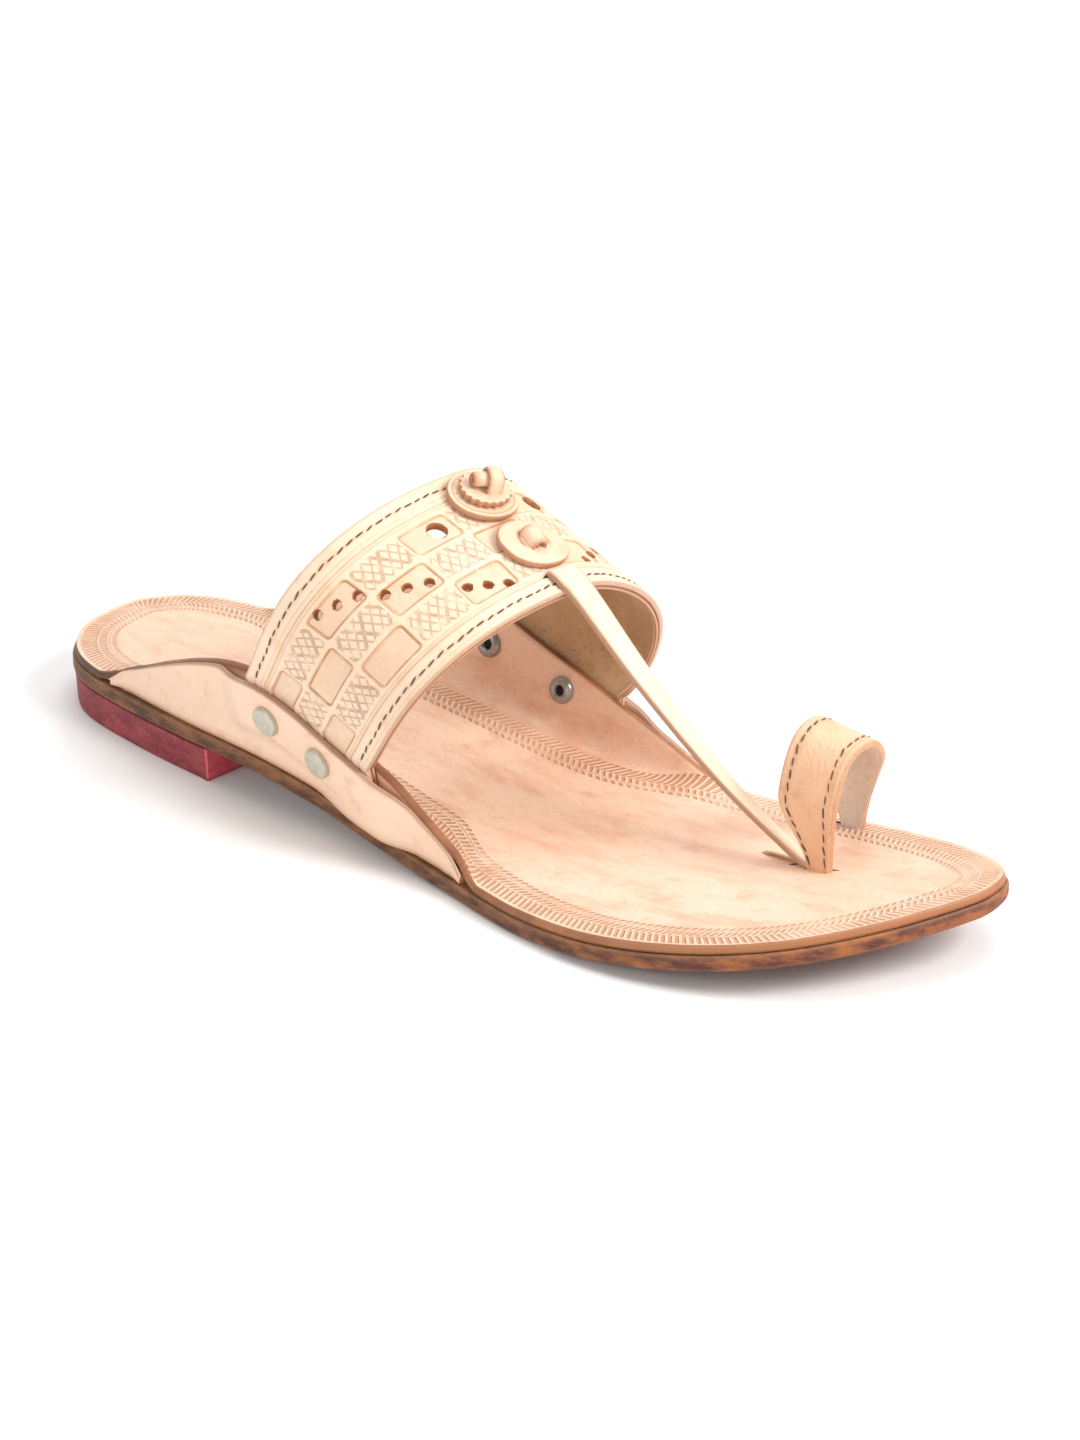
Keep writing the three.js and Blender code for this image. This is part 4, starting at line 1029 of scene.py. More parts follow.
# %% Make the band
PLY = 1.55
RIM = [(0.02, -0.02), (0.0, -0.22), (0.0, -1.0), (0.05, -PLY + 0.15), (0.28, -PLY),
       (0.05, -PLY - 0.15), (0.0, -2.1), (0.05, -2.42), (0.3, -BAND_THICK + 0.02)]
RIM_EDGE = [0.55, 0.45, 0.5, 0.9, 1.0, 0.9, 0.55, 0.8, 0.9]
top_v = np.sort(np.unique(np.concatenate([
    np.linspace(0.012, 0.988, 112), [line for line, _ in CREASES],
    [line + side * 0.007 for line, _ in CREASES for side in (-1, 1)]])))
under_v = np.linspace(0.985, 0.015, 22)
ring_v = np.concatenate([
    top_v, [1 - inset / BAND_WIDTH for inset, _ in RIM], under_v,
    [inset / BAND_WIDTH for inset, _ in reversed(RIM)]])
ring_off = np.concatenate([
    np.full(len(top_v), BAND_THICK / 2), [BAND_THICK / 2 + drop for _, drop in RIM],
    np.full(len(under_v), -BAND_THICK / 2), [BAND_THICK / 2 + drop for _, drop in reversed(RIM)]])
u_grid, v_grid = np.meshgrid(shares, ring_v, indexing="ij")
relief, mask = tooling(u_grid, v_grid)
is_top = np.zeros(len(ring_v), bool)
is_top[:len(top_v)] = True
relief = relief * is_top
mask = mask * is_top[:, None]
rim_from = len(top_v)
mask[:, rim_from:rim_from + len(RIM), 2] = RIM_EDGE
mask[:, -len(RIM):, 2] = list(reversed(RIM_EDGE))
mask[:, [0, rim_from - 1], 2] = 0.18
faces_under = np.zeros(len(ring_v), dtype=int)
faces_under[rim_from + len(RIM):rim_from + len(RIM) + len(under_v)] = 1
rings = on_band(u_grid, v_grid, ring_off[None, :] + relief)
pattern = np.stack([u_grid * BAND_REACH, v_grid * BAND_WIDTH], 2)
band = skin("instep_band", rings, [tooled, band_flesh], pattern, mask, faces_under, sharp=55)


# %% [markdown]
# ## Punching the band
#
# The maker punches the holes with a tube punch. Here a row of short posts is put through the
# band with a Boolean, which keeps the band's finish and lines each hole with the posts' own
# burnished one. Geometry Nodes set the posts: one tree takes points that know their two
# directions and puts the same small piece on each. The stitches and rivets use it too.

# %% Build the tree that sets pieces on points
def setting_tree():
    tree = bpy.data.node_groups.new("Set pieces on points", "GeometryNodeTree")
    face = tree.interface
    face.new_socket("Points", in_out="INPUT", socket_type="NodeSocketGeometry")
    face.new_socket("Piece", in_out="INPUT", socket_type="NodeSocketObject")
    face.new_socket("Size", in_out="INPUT", socket_type="NodeSocketVector")
    face.new_socket("Unevenness", in_out="INPUT", socket_type="NodeSocketFloat")
    face.new_socket("Finish", in_out="INPUT", socket_type="NodeSocketMaterial")
    face.new_socket("Geometry", in_out="OUTPUT", socket_type="NodeSocketGeometry")
    nodes, links = tree.nodes, tree.links
    given = nodes.new("NodeGroupInput")
    result = nodes.new("NodeGroupOutput")

    def named(label):
        made = nodes.new("GeometryNodeInputNamedAttribute")
        made.data_type = "FLOAT_VECTOR"
        made.inputs["Name"].default_value = label
        return made.outputs["Attribute"]
    turn = nodes.new("FunctionNodeAxesToRotation")
    turn.primary_axis = "Z"
    turn.secondary_axis = "X"
    links.new(named("out"), turn.inputs["Primary Axis"])
    links.new(named("along"), turn.inputs["Secondary Axis"])
    piece = nodes.new("GeometryNodeObjectInfo")
    links.new(given.outputs["Piece"], piece.inputs["Object"])
    chance = nodes.new("FunctionNodeRandomValue")
    chance.data_type = "FLOAT"
    chance.inputs["Seed"].default_value = 7
    low = nodes.new("ShaderNodeMath")
    low.operation = "SUBTRACT"
    low.inputs[0].default_value = 1.0
    links.new(given.outputs["Unevenness"], low.inputs[1])
    links.new(low.outputs[0], chance.inputs[2])
    chance.inputs[3].default_value = 1.0
    grow = nodes.new("ShaderNodeVectorMath")
    grow.operation = "SCALE"
    links.new(given.outputs["Size"], grow.inputs[0])
    links.new(chance.outputs[1], grow.inputs["Scale"])
    place = nodes.new("GeometryNodeInstanceOnPoints")
    links.new(given.outputs["Points"], place.inputs["Points"])
    links.new(piece.outputs["Geometry"], place.inputs["Instance"])
    links.new(turn.outputs[0], place.inputs["Rotation"])
    links.new(grow.outputs[0], place.inputs["Scale"])
    real = nodes.new("GeometryNodeRealizeInstances")
    links.new(place.outputs[0], real.inputs[0])
    paint = nodes.new("GeometryNodeSetMaterial")
    links.new(real.outputs[0], paint.inputs["Geometry"])
    links.new(given.outputs["Finish"], paint.inputs["Material"])
    links.new(paint.outputs[0], result.inputs[0])
    return tree


setter = setting_tree()
SOCKETS = {item.name: item.identifier for item in setter.interface.items_tree
           if item.in_out == "INPUT"}


def set_pieces(name, places, outs, alongs, template, size, finish, uneven=0.0):
    """Puts the template on every place and returns one plain mesh object."""
    mesh = bpy.data.meshes.new(name + "_points")
    mesh.from_pydata(((np.asarray(places, float) - [HEEL_CENTRE, 0, 0]) * MM).tolist(), [], [])
    for label, vectors in (("out", outs), ("along", alongs)):
        layer = mesh.attributes.new(label, "FLOAT_VECTOR", "POINT")
        layer.data.foreach_set("vector", np.asarray(vectors, float).ravel())
    carrier = bpy.data.objects.new(name + "_points", mesh)
    bpy.context.scene.collection.objects.link(carrier)
    modifier = carrier.modifiers.new("Setting", "NODES")
    modifier.node_group = setter
    modifier[SOCKETS["Piece"]] = template
    modifier[SOCKETS["Size"]] = [one * MM for one in size]
    modifier[SOCKETS["Unevenness"]] = uneven
    modifier[SOCKETS["Finish"]] = finish
    bpy.context.view_layer.update()
    graph = bpy.context.evaluated_depsgraph_get()
    made = bpy.data.meshes.new_from_object(carrier.evaluated_get(graph))
    made.name = name
    bpy.data.objects.remove(carrier)
    piece = bpy.data.objects.new(name, made)
    bpy.context.scene.collection.objects.link(piece)
    made.shade_smooth()
    made.set_sharp_from_angle(angle=math.radians(40))
    print(f"{name}: {len(places)} set, {len(made.polygons)} faces")
    return piece


def template_from(name, rows, sides):
    """A small closed piece turned round Z from rows of (radius, height), as shares of its size."""
    angles = np.arange(sides) / sides * 2 * math.pi
    points = [[radius * math.cos(a), radius * math.sin(a), z] for radius, z in rows for a in angles]
    faces = []
    for i in range(len(rows) - 1):
        for j in range(sides):
            k = (j + 1) % sides
            faces.append([i * sides + j, i * sides + k, (i + 1) * sides + k, (i + 1) * sides + j])
    faces.append([j for j in range(sides - 1, -1, -1)])
    faces.append([(len(rows) - 1) * sides + j for j in range(sides)])
    mesh = bpy.data.meshes.new(name)
    mesh.from_pydata(points, [], faces)
    return finish_mesh(name, mesh, [])


def remove(*templates):
    for one in templates:
        bpy.data.objects.remove(one)


# %% Punch the holes
PUNCH = 2.6
EYE = 5.2
POST_HEIGHT = 8
PUNCH_GROUPS = [(0.258, 0.295), (0.336, 0.5), (0.424, 0.75)]
PUNCH_STEP = (0.027, 0.05)
EYES = [(0.438, 0.3)]


def mirrored(place):
    return 2 * crown_share(place[1]) - place[0], place[1]


def directions(u, v):
    out = look_up(normal, u, v)
    ahead = look_up(along_band, u, v)
    return out / np.linalg.norm(out), ahead / np.linalg.norm(ahead)


def posts(name, places, width, sides=20):
    shape = template_from(name + "_post", [(0.5, -0.5), (0.5, 0.5)], sides)
    at = [on_band(u, v) for u, v in places]
    outs, alongs = zip(*[directions(u, v) for u, v in places])
    made = set_pieces(name, at, outs, alongs, shape, (width, width, POST_HEIGHT), button_hide)
    remove(shape)
    return made


one_side = [(u + k * PUNCH_STEP[0], v + k * PUNCH_STEP[1])
            for u, v in PUNCH_GROUPS for k in (-1, 0, 1)]
punches = posts("punches", one_side + [mirrored(place) for place in one_side], PUNCH)
eyes = posts("eyes", EYES + [mirrored(place) for place in EYES], EYE, 28)


def cut_with(piece, cutter):
    """Cuts the cutter out of the piece and throws the cutter away."""
    modifier = piece.modifiers.new("Cut", "BOOLEAN")
    modifier.operation = "DIFFERENCE"
    modifier.solver = "EXACT"
    modifier.material_mode = "TRANSFER"
    modifier.object = cutter
    graph = bpy.context.evaluated_depsgraph_get()
    made = bpy.data.meshes.new_from_object(piece.evaluated_get(graph))
    piece.modifiers.clear()
    piece.data = made
    bpy.data.objects.remove(cutter)
    print(f"{piece.name} after the cut: {len(made.polygons)} faces")


cut_with(band, punches)
cut_with(band, eyes)
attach(band, "root")
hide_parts("upper")


# %% [markdown]
# ## Stitches
#
# Waxed brown thread runs in a row along each edge of the band. Every stitch is a short bar of
# thread that thins at its ends, set on the surface by its row's shares. All lean a little to
# the same side, by uneven amounts, as hand stitches do.

# %% Sew the band
STITCH = 2.6
STITCH_PITCH = 3.0
STITCH_LEAN = 0.16
THREAD = 0.6
STITCH_ROWS_FROM, STITCH_ROWS_TO = 0.075, 0.935
stitch_bar = template_from("stitch_bar", [
    (0.12, -0.5), (0.42, -0.32), (0.5, 0.0), (0.42, 0.32), (0.12, 0.5)], 6)


def sew(name, line, out):
    """Sets stitches along a dense line of points that have outward directions."""
    arc = np.concatenate([[0], np.cumsum(np.linalg.norm(np.diff(line, axis=0), axis=1))])
    count = int(arc[-1] / STITCH_PITCH)
    wanted = (np.arange(count) + 0.5) * STITCH_PITCH
    at = np.stack([np.interp(wanted, arc, line[:, k]) for k in range(3)], 1)
    up = np.stack([np.interp(wanted, arc, out[:, k]) for k in range(3)], 1)
    on = np.stack([np.interp(wanted + 0.4, arc, line[:, k]) for k in range(3)], 1) - at
    up /= np.linalg.norm(up, axis=1)[:, None]
    on /= np.maximum(np.linalg.norm(on, axis=1)[:, None], 1e-9)
    aside = np.cross(up, on)
    sway = STITCH_LEAN * (1 + 0.7 * np.sin(np.arange(count) * 2.3))
    on = on + aside * sway[:, None]
    on /= np.linalg.norm(on, axis=1)[:, None]
    at = at + up * 0.02 + aside * (0.12 * np.sin(np.arange(count) * 1.7))[:, None]
    side = np.cross(on, up)
    return set_pieces(name, at, on, side, stitch_bar, (THREAD, THREAD * 0.8, STITCH), thread, 0.22)


fine_u = np.linspace(STITCH_ROWS_FROM, STITCH_ROWS_TO, 600)
rows = []
for number, v in enumerate(STITCH_ROWS):
    across = np.full_like(fine_u, v)
    depth, _ = tooling(fine_u, across)
    line = on_band(fine_u, across, BAND_THICK / 2 + depth + 0.1)
    out = look_up(normal, fine_u, across)
    rows.append(sew(f"band_stitches_{'rear' if number == 0 else 'front'}", line, out))
for row in rows:
    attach(row, "root")


# %% [markdown]
# ## Straps
#
# The thong and the toe loop are strips with a rounded, two-sided section. A strip is a skin
# whose rings are the same small section, carried along a line that knows its width direction.

# %% Write the strap maker
def strap_section(count_top, thick, round_by=0.35):
    """One section as (share across, height) rows: over the top, round, and back underneath."""
    half = thick / 2
    top = [(v, half) for v in np.linspace(0, 1, count_top)[1:-1]]
    right = [(1.0, half - round_by), (1.0, -half + round_by)]
    under = [(v, -half) for v in np.linspace(1, 0, 7)[1:-1]]
    left = [(0.0, -half + round_by), (0.0, half - round_by)]
    return top + right + under + left, len(top)


def catmull(points, count):
    """A smooth line through points, spaced by the square root of the gaps between them."""
    points = [np.asarray(p, float) for p in points]
    points = [2 * points[0] - points[1]] + points + [2 * points[-1] - points[-2]]
    line = []
    for i in range(1, len(points) - 2):
        p0, p1, p2, p3 = points[i - 1:i + 3]
        d0, d1, d2 = (np.linalg.norm(b - a) ** 0.5 for a, b in ((p0, p1), (p1, p2), (p2, p3)))
        leave = ((p1 - p0) / d0 - (p2 - p0) / (d0 + d1) + (p2 - p1) / d1) * d1
        arrive = ((p2 - p1) / d1 - (p3 - p1) / (d1 + d2) + (p3 - p2) / d2) * d1
        for t in np.linspace(0, 1, count, endpoint=False):
            line.append((2 * t**3 - 3 * t**2 + 1) * p1 + (t**3 - 2 * t**2 + t) * leave
                        + (3 * t**2 - 2 * t**3) * p2 + (t**3 - t**2) * arrive)
    line.append(points[-2])
    return np.array(line)


def strap(name, line, across, widths, thick, materials, count_top=14):
    """A strip along `line`, `across` being its width direction at each point."""
    line = np.asarray(line, float)
    ahead = np.gradient(line, axis=0)
    ahead /= np.linalg.norm(ahead, axis=1)[:, None]
    across = np.asarray(across, float) - ahead * np.sum(across * ahead, axis=1)[:, None]
    across /= np.linalg.norm(across, axis=1)[:, None]
    out = np.cross(ahead, across)
    section, top_count = strap_section(count_top, thick)
    arc = np.concatenate([[0], np.cumsum(np.linalg.norm(np.diff(line, axis=0), axis=1))])
    rings, pattern, mask = [], [], []
    for i in range(len(line)):
        ring = [line[i] + across[i] * (v - 0.5) * widths[i] + out[i] * h for v, h in section]
        rings.append(ring)
        pattern.append([[arc[i], v * widths[i]] for v, _ in section])
        shade = np.zeros((len(section), 3))
        shade[[top_count, top_count + 1, -2, -1], 2] = 0.8
        shade[[0, top_count - 1], 2] = 0.2
        mask.append(shade)
    return skin(name, rings, materials, pattern, mask, sharp=60)


# %% [markdown]
# ## The thong
#
# The thong comes up through a slit in the band's crown, bends over the front edge and runs down
# to the toe loop's outer foot, sagging a little and getting narrower on the way. The slit is a
# thin dark lens that lies on the band where the strip comes up, painted black as its shadow.

# %% Make the thong
THONG_WIDTH = 8.2
THONG_THICK = 1.9
THONG_START = 0.885
THONG_FOOT_S = 0.832 * LENGTH
THONG_FOOT_Y = 11.2
FOOT_LIFT = 0.6
THONG_SAG = 4.2
THONG_NARROW = 0.4
SLIT_SHARE = 0.868
SLIT_LONG = 10.6
SLIT_OPEN = 1.3
LENS_THICK = 0.3
crown_edge = on_band(crown_share(1), 1.0, BAND_THICK / 2)
thong_start = on_band(crown_share(THONG_START), THONG_START, BAND_THICK / 2)
thong_end = np.array([THONG_FOOT_S, THONG_FOOT_Y,
                      float(outsole_top(THONG_FOOT_S)) + FOOT_LIFT + THONG_THICK / 2])
lift = np.array([0, 0, THONG_THICK / 2 - 0.2])
drop = np.array([0, 0, THONG_SAG])
into_slit = thong_start + (thong_start - crown_edge) * 0.28 - np.array([0, 0, 1.4])
thong_line = catmull([
    into_slit, thong_start + lift, crown_edge + lift,
    mix(crown_edge + lift, thong_end, 0.3) - drop * 0.8,
    mix(crown_edge + lift, thong_end, 0.65) - drop, thong_end], 26)
reach = np.linspace(0, 1, len(thong_line))
widths = THONG_WIDTH * mix(1, THONG_NARROW, smooth(0.3, 0.97, reach))
sideways = np.tile([0.0, 1.0, 0.0], (len(thong_line), 1))
thong = strap("thong", thong_line, sideways, widths, THONG_THICK, [strap_hide])
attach(thong, "root")
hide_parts("upper")

slit_u = crown_share(SLIT_SHARE)
slit_out, slit_along = directions(slit_u, SLIT_SHARE)
slit_place = on_band(slit_u, SLIT_SHARE, BAND_THICK / 2 + 0.02)
slit_shape = template_from("slit_post", [(0.42, -0.5), (0.5, 0.0), (0.42, 0.5)], 14)
# a black lens on the band as the painted shadow of the slit
slit = set_pieces("thong_slit", [slit_place], [slit_out], [slit_along], slit_shape,
                  (SLIT_LONG, SLIT_OPEN, LENS_THICK), hole_shadow_black)
remove(slit_shape)
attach(slit, "root")


# %% [markdown]
# ## The toe loop
#
# The loop is a wide strip bent into an arch over the big toe. Its outer foot tapers from the
# rear down to where the thong ends, and its inner foot narrows into a slot of its own. The
# hide's smooth side is outside and the napped side inside, with a stitched row near each edge.

# %% Make the toe loop
LOOP_WIDTH = 14.6
LOOP_HEIGHT = 31
LOOP_SPAN = 26.5
LOOP_THICK = 2.0
LOOP_OUTER = 0.829
LOOP_INNER = 0.807
LOOP_Y = 23.2
LOOP_FORWARD = 2
LOOP_TILT = 1.8
LOOP_TAPER = 0.17
LOOP_REAR = 0.64
LOOP_SQUARE = 2.5
LOOP_ROOT = OUTSOLE_THICK + FOOT_LIFT
LOOP_STEPS = 110


def loop_middle(u, v):
    angle = math.pi * u
    high = math.sin(angle)
    taper = smooth(0, LOOP_TAPER, u) if u < 0.5 else smooth(0, LOOP_TAPER / 2, 1 - u)
    rear = mix(-0.05 if u < 0.5 else 0.3, LOOP_REAR, float(taper))
    front = mix(0.12, 0.5, float(smooth(0, 0.3, 1 - u)))
    width = mix(-rear, front, v)
    s = mix(LOOP_OUTER, LOOP_INNER, u) * LENGTH + LOOP_FORWARD * high + width * LOOP_WIDTH
    cosine = math.cos(angle)
    y = LOOP_Y - LOOP_SPAN / 2 * math.copysign(abs(cosine) ** (2 / LOOP_SQUARE), cosine)
    rise = LOOP_HEIGHT - LOOP_ROOT + OUTSOLE_THICK
    z = float(sole_bottom(s)) + LOOP_ROOT + rise * high ** (2 / LOOP_SQUARE)
    return np.array([s, y, z - width * 2 * LOOP_TILT * high])


loop_u = 0.5 - 0.5 * np.cos(np.linspace(0.02, math.pi - 0.02, LOOP_STEPS))
loop_u[0], loop_u[-1] = 0.0, 1.0
loop_v = np.linspace(0, 1, 21)
LOOP_MIDDLE = len(loop_v) // 2
loop_grid = np.array([[loop_middle(u, v) for v in loop_v] for u in loop_u])
loop_out = np.cross(np.gradient(loop_grid, axis=0), np.gradient(loop_grid, axis=1))
loop_out /= np.maximum(np.linalg.norm(loop_out, axis=2)[:, :, None], 1e-9)
if loop_out[LOOP_STEPS // 2, LOOP_MIDDLE, 2] < 0:
    loop_out = -loop_out
loop_gaps = np.linalg.norm(np.diff(loop_grid[:, LOOP_MIDDLE], axis=0), axis=1)
loop_arc = np.concatenate([[0], np.cumsum(loop_gaps)])


def across_loop(grid, v):
    return np.array([[np.interp(v, loop_v, grid[i, :, k]) for k in range(3)]
                     for i in range(LOOP_STEPS)])


def loop_row(v, off):
    """Points of the loop's surface along one share of its width, and outward directions."""
    at = across_loop(loop_grid, v)
    out = across_loop(loop_out, v)
    out /= np.linalg.norm(out, axis=1)[:, None]
    return at + out * np.asarray(off, float)[..., None], out


LOOP_STITCHES = (0.15, 0.83)
LOOP_CREASE = 0.93
loop_section, loop_top = strap_section(24, LOOP_THICK)
rings, pattern, mask = [], [], []
for number, (v, h) in enumerate(loop_section):
    on_top = number < loop_top
    groove = sum(math.exp(-((v - line) * LOOP_WIDTH / THREAD_GROOVE_WIDTH) ** 2)
                 for line in LOOP_STITCHES) * on_top
    crease = math.exp(-((v - LOOP_CREASE) * LOOP_WIDTH / 0.3) ** 2) * on_top
    wave = 0.12 * ripple(loop_arc, np.full(LOOP_STEPS, v * LOOP_WIDTH), 4.0, 2) * on_top
    at, _ = loop_row(v, h - THREAD_GROOVE * groove - 0.15 * crease + wave)
    rings.append(at)
    pattern.append(np.column_stack([loop_arc, np.full(LOOP_STEPS, v * LOOP_WIDTH)]))
    rim = number in (loop_top, loop_top + 1, len(loop_section) - 2, len(loop_section) - 1)
    worn = 0.25 * (1 - smooth(2, 16, loop_arc)) * on_top
    # green paints the stitch grooves and the crease darker: pressed leather, and painted shade in them
    mask.append(np.column_stack([
        0 * loop_arc, 0.3 * groove + 0.5 * crease + worn, np.full(LOOP_STEPS, 0.6 * rim)]))
slot_of = np.zeros(len(loop_section), dtype=int)
slot_of[loop_top + 1:len(loop_section) - 2] = 1
rings, pattern, mask = (np.swapaxes(rows, 0, 1) for rows in (rings, pattern, mask))
toe_loop = skin("toe_loop", rings, [loop_hide, loop_flesh], pattern, mask, slot_of, sharp=60)
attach(toe_loop, "root")
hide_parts("upper")

for number, v in enumerate(LOOP_STITCHES):
    line, out = loop_row(v, np.full(LOOP_STEPS, LOOP_THICK / 2 - 0.14))
    keep = line[:, 2] > insole_top(line[:, 0]) + 0.6
    row = sew(f"loop_stitches_{'rear' if number == 0 else 'front'}", line[keep], out[keep])
    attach(row, "root")


# %% [markdown]
# ## Slots
#
# The feet of the loop and the thong go down through slots cut in the top sole, and the thong's
# end comes up again behind them as a short pale tab. Each slot is a thin dark lens of a piece,
# set on the top sole by the same tree as the stitches and painted black as the slot's shadow.

# %% Mark the slots
# along the sole, across it, length, degrees turned
SLOTS = [
    (236.2, 10.6, 9.0, 18), (229.5, 11.4, 6.0, 35), (221.5, 36.9, 11.0, 8), (217.6, 13.9, 3.6, 70),
]
SLOT_OPEN = 1.1
SLOT_THICK = 0.22
TAB_WIDTH = 3.4
TAB_THICK = 0.9
slot_shape = template_from("slot_shape", [(0.36, -0.5), (0.5, 0.0), (0.36, 0.5)], 16)


def on_sole(s, y, up=0.0):
    return np.array([s, y, float(insole_top(s)) + up])


for number, (s, y, long, turned) in enumerate(SLOTS):
    ahead = np.array([math.cos(math.radians(turned)), math.sin(math.radians(turned)), 0.0])
    slope = float(insole_top(s + 1) - insole_top(s - 1)) / 2
    upward = np.array([-slope, 0.0, 1.0])
    # each slot is a black lens on the sole: painted shadow, no hole
    slot = set_pieces(f"slot_{number + 1}", [on_sole(s, y, 0.02)], [upward], [ahead], slot_shape,
                      (long, SLOT_OPEN, SLOT_THICK), hole_shadow_black)
    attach(slot, "root")
remove(slot_shape)
tab_line = catmull([on_sole(217.2, 13.8, -0.6), on_sole(219.0, 13.6, 0.5), on_sole(224.0, 13.0, 0.75),
                    on_sole(229.5, 12.2, 0.5)], 14)
tab = strap("thong_tab", tab_line, np.tile([0.0, 1.0, 0.0], (len(tab_line), 1)),
            np.full(len(tab_line), TAB_WIDTH), TAB_THICK, [strap_hide], count_top=8)
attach(tab, "root")


# %% [markdown]
# ## Buttons
#
# Two leather buttons sit on the crown. Each is a disc pressed to the band, so its points are
# found on the band's surface: a step sideways and back from the button's middle is turned into
# shares. The rear button carries a second, pinked disc, and both are topped by a rolled strip.

# %% Make the discs
REAR_DISC = 17.6
PINKED_DISC = 12.8
FRONT_DISC = 17.0
DISC_THICK = 1.8
PINKS = 19
REAR_BUTTON = 0.24
FRONT_BUTTON = 0.655
FRONT_KNOT_TURN = 75
HORSESHOE_AHEAD = 4.1
HORSESHOE_ASIDE = 3.4
BUTTON_GROOVE = 0.85


def button_frame(v):
    u = crown_share(v)
    du = look_up(along_band, u, v) * BAND_U
    dv = look_up(across_band, u, v) * BAND_V
    out = look_up(normal, u, v)
    out = out / np.linalg.norm(out)
    right = du / np.linalg.norm(du)
    back = np.cross(out, right)
    return u, du, dv, right, back, out


def beside_button(v, x, y, off):
    """Points x to the right and y back from a button's middle, `off` above the band."""
    u, du, dv, right, back, _ = button_frame(v)
    step_v = y / np.dot(dv, back)
    step_u = (x - step_v * np.dot(dv, right)) / np.dot(du, right)
    return on_band(u + step_u, v + step_v, BAND_THICK / 2 + off)


def horseshoe(x, y):
    """One on the curved slit that the front roll comes through."""
    turn = math.radians(FRONT_KNOT_TURN)
    ahead = x * math.cos(turn) + y * math.sin(turn)
    aside = -x * math.sin(turn) + y * math.cos(turn)
    ring = np.hypot(ahead / HORSESHOE_AHEAD, aside / HORSESHOE_ASIDE)
    return np.exp(-((ring - 1) / 0.11) ** 2) * smooth(-2.6, -0.5, ahead)


def disc(name, v, width, base, pinks=0, groove=0.0, around=96, slit=False):
    radius, thick = width / 2, DISC_THICK
    rows = [(share, thick) for share in np.linspace(0.03, 0.8, 22)]
    rows += [(BUTTON_GROOVE, thick - groove),
             (0.9, thick), (0.955, thick - 0.08), (0.988, thick - 0.3), (1.0, thick - 0.7),
             (1.0, 0.6), (0.985, 0.2), (0.95, 0.0), (0.5, 0.0), (0.03, 0.0)]
    angles = np.arange(around) / around * 2 * math.pi
    tooth = 1 - 0.09 * (0.5 + 0.5 * np.cos(angles * pinks)) if pinks else np.ones(around)
    rings, pattern, mask = [], [], []
    for share, height in rows:
        r = radius * share * mix(1, tooth, smooth(0.6, 0.95, share))
        wave = 0.12 * ripple(r * np.cos(angles), r * np.sin(angles), 3.2, v * 9)
        x, y = r * np.cos(angles), r * np.sin(angles)
        cut = horseshoe(x, y) * slit * (height > 1)
        rings.append(beside_button(v, x, y, base + height + wave - 0.5 * cut))
        pattern.append(np.column_stack([x, y]))
        edge = 0.8 if share > 0.97 else 0.0
        # green paints the horseshoe slit and the groove tan: pressed leather, and painted shade in the cut
        pressed_and_shade = np.maximum(cut, 0.7 if share == BUTTON_GROOVE and groove else 0.0)
        mask.append(np.column_stack([np.zeros(around), pressed_and_shade, np.full(around, edge)]))
    piece = skin(name, rings, [button_hide], pattern, mask, sharp=60)
    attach(piece, "root")
    return piece


pinked_base = CLEAR + DISC_THICK + CLEAR
rear_disc = disc("rear_button_base", REAR_BUTTON, REAR_DISC, CLEAR, groove=0.25)
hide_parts("rear_button_disc")
pinked_disc = disc("rear_button_pinked_top", REAR_BUTTON, PINKED_DISC, pinked_base, pinks=PINKS, around=160)
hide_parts("rear_button_pinked")
front_disc = disc("front_button_base", FRONT_BUTTON, FRONT_DISC, CLEAR, slit=True)
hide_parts("front_button_disc")


# %% [markdown]
# ## Rolled knots
#
# A narrow strip is pushed up through the button and rolled on itself, which holds the button
# down. Each knot is a strap whose line is a short spiral. The rear one is taller, with a second
# strip drawn over the roll and a small curl beside it.

# %% Roll the knots
KNOT_STRIP = 1.1
REAR_KNOT_TURN = -26
CURL_TURN = -48


def knot_frame(v, base, axis_turn, side_step):
    """Foot of a knot, the roll's axis, the direction it rolls in and the way out of the band."""
    _, _, _, right, back, out = button_frame(v)
    turn = math.radians(axis_turn)
    axis = right * math.cos(turn) + back * math.sin(turn)
    foot = beside_button(v, 0.0, 0.0, base) + axis * side_step
    return foot, axis, np.cross(out, axis), out


def scroll(name, v, base, turns, outer, width, axis_turn, side_step=0.0, thick=KNOT_STRIP):
    """A strip rolled up on an axis that lies on the button, turned by `axis_turn` degrees."""
    foot, axis, flat, out = knot_frame(v, base, axis_turn, side_step)
    centre = foot + out * outer
    t = np.linspace(0, 1, int(46 * turns))
    angle = -math.pi / 2 + t * turns * 2 * math.pi
    radius = mix(outer - thick / 2, thick * 0.55, t ** 0.9)
    line = centre + np.outer(np.cos(angle) * radius, flat) + np.outer(np.sin(angle) * radius, out)
    widths = width * (1 - 0.12 * t)
    across = np.tile(axis, (len(t), 1))
    piece = strap(name, line, across, widths, thick, [button_hide], count_top=8)
    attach(piece, "root")
    return piece


def bridge_strip(name, v, base, height, span, width, axis_turn, side_step=0.0):
    """A short strip drawn over a roll from one side of it to the other."""
    foot, axis, flat, out = knot_frame(v, base, axis_turn, side_step)
    t = np.linspace(0, math.pi, 40)
    squared = np.sign(np.cos(t)) * np.abs(np.cos(t)) ** 0.75
    line = foot + np.outer(squared * span / 2, flat) + np.outer(np.sin(t) ** 0.8 * height, out)
    piece = strap(name, line, np.tile(axis, (len(t), 1)), np.full(len(t), width), KNOT_STRIP,
                  [button_hide], count_top=8)
    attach(piece, "root")
    return piece


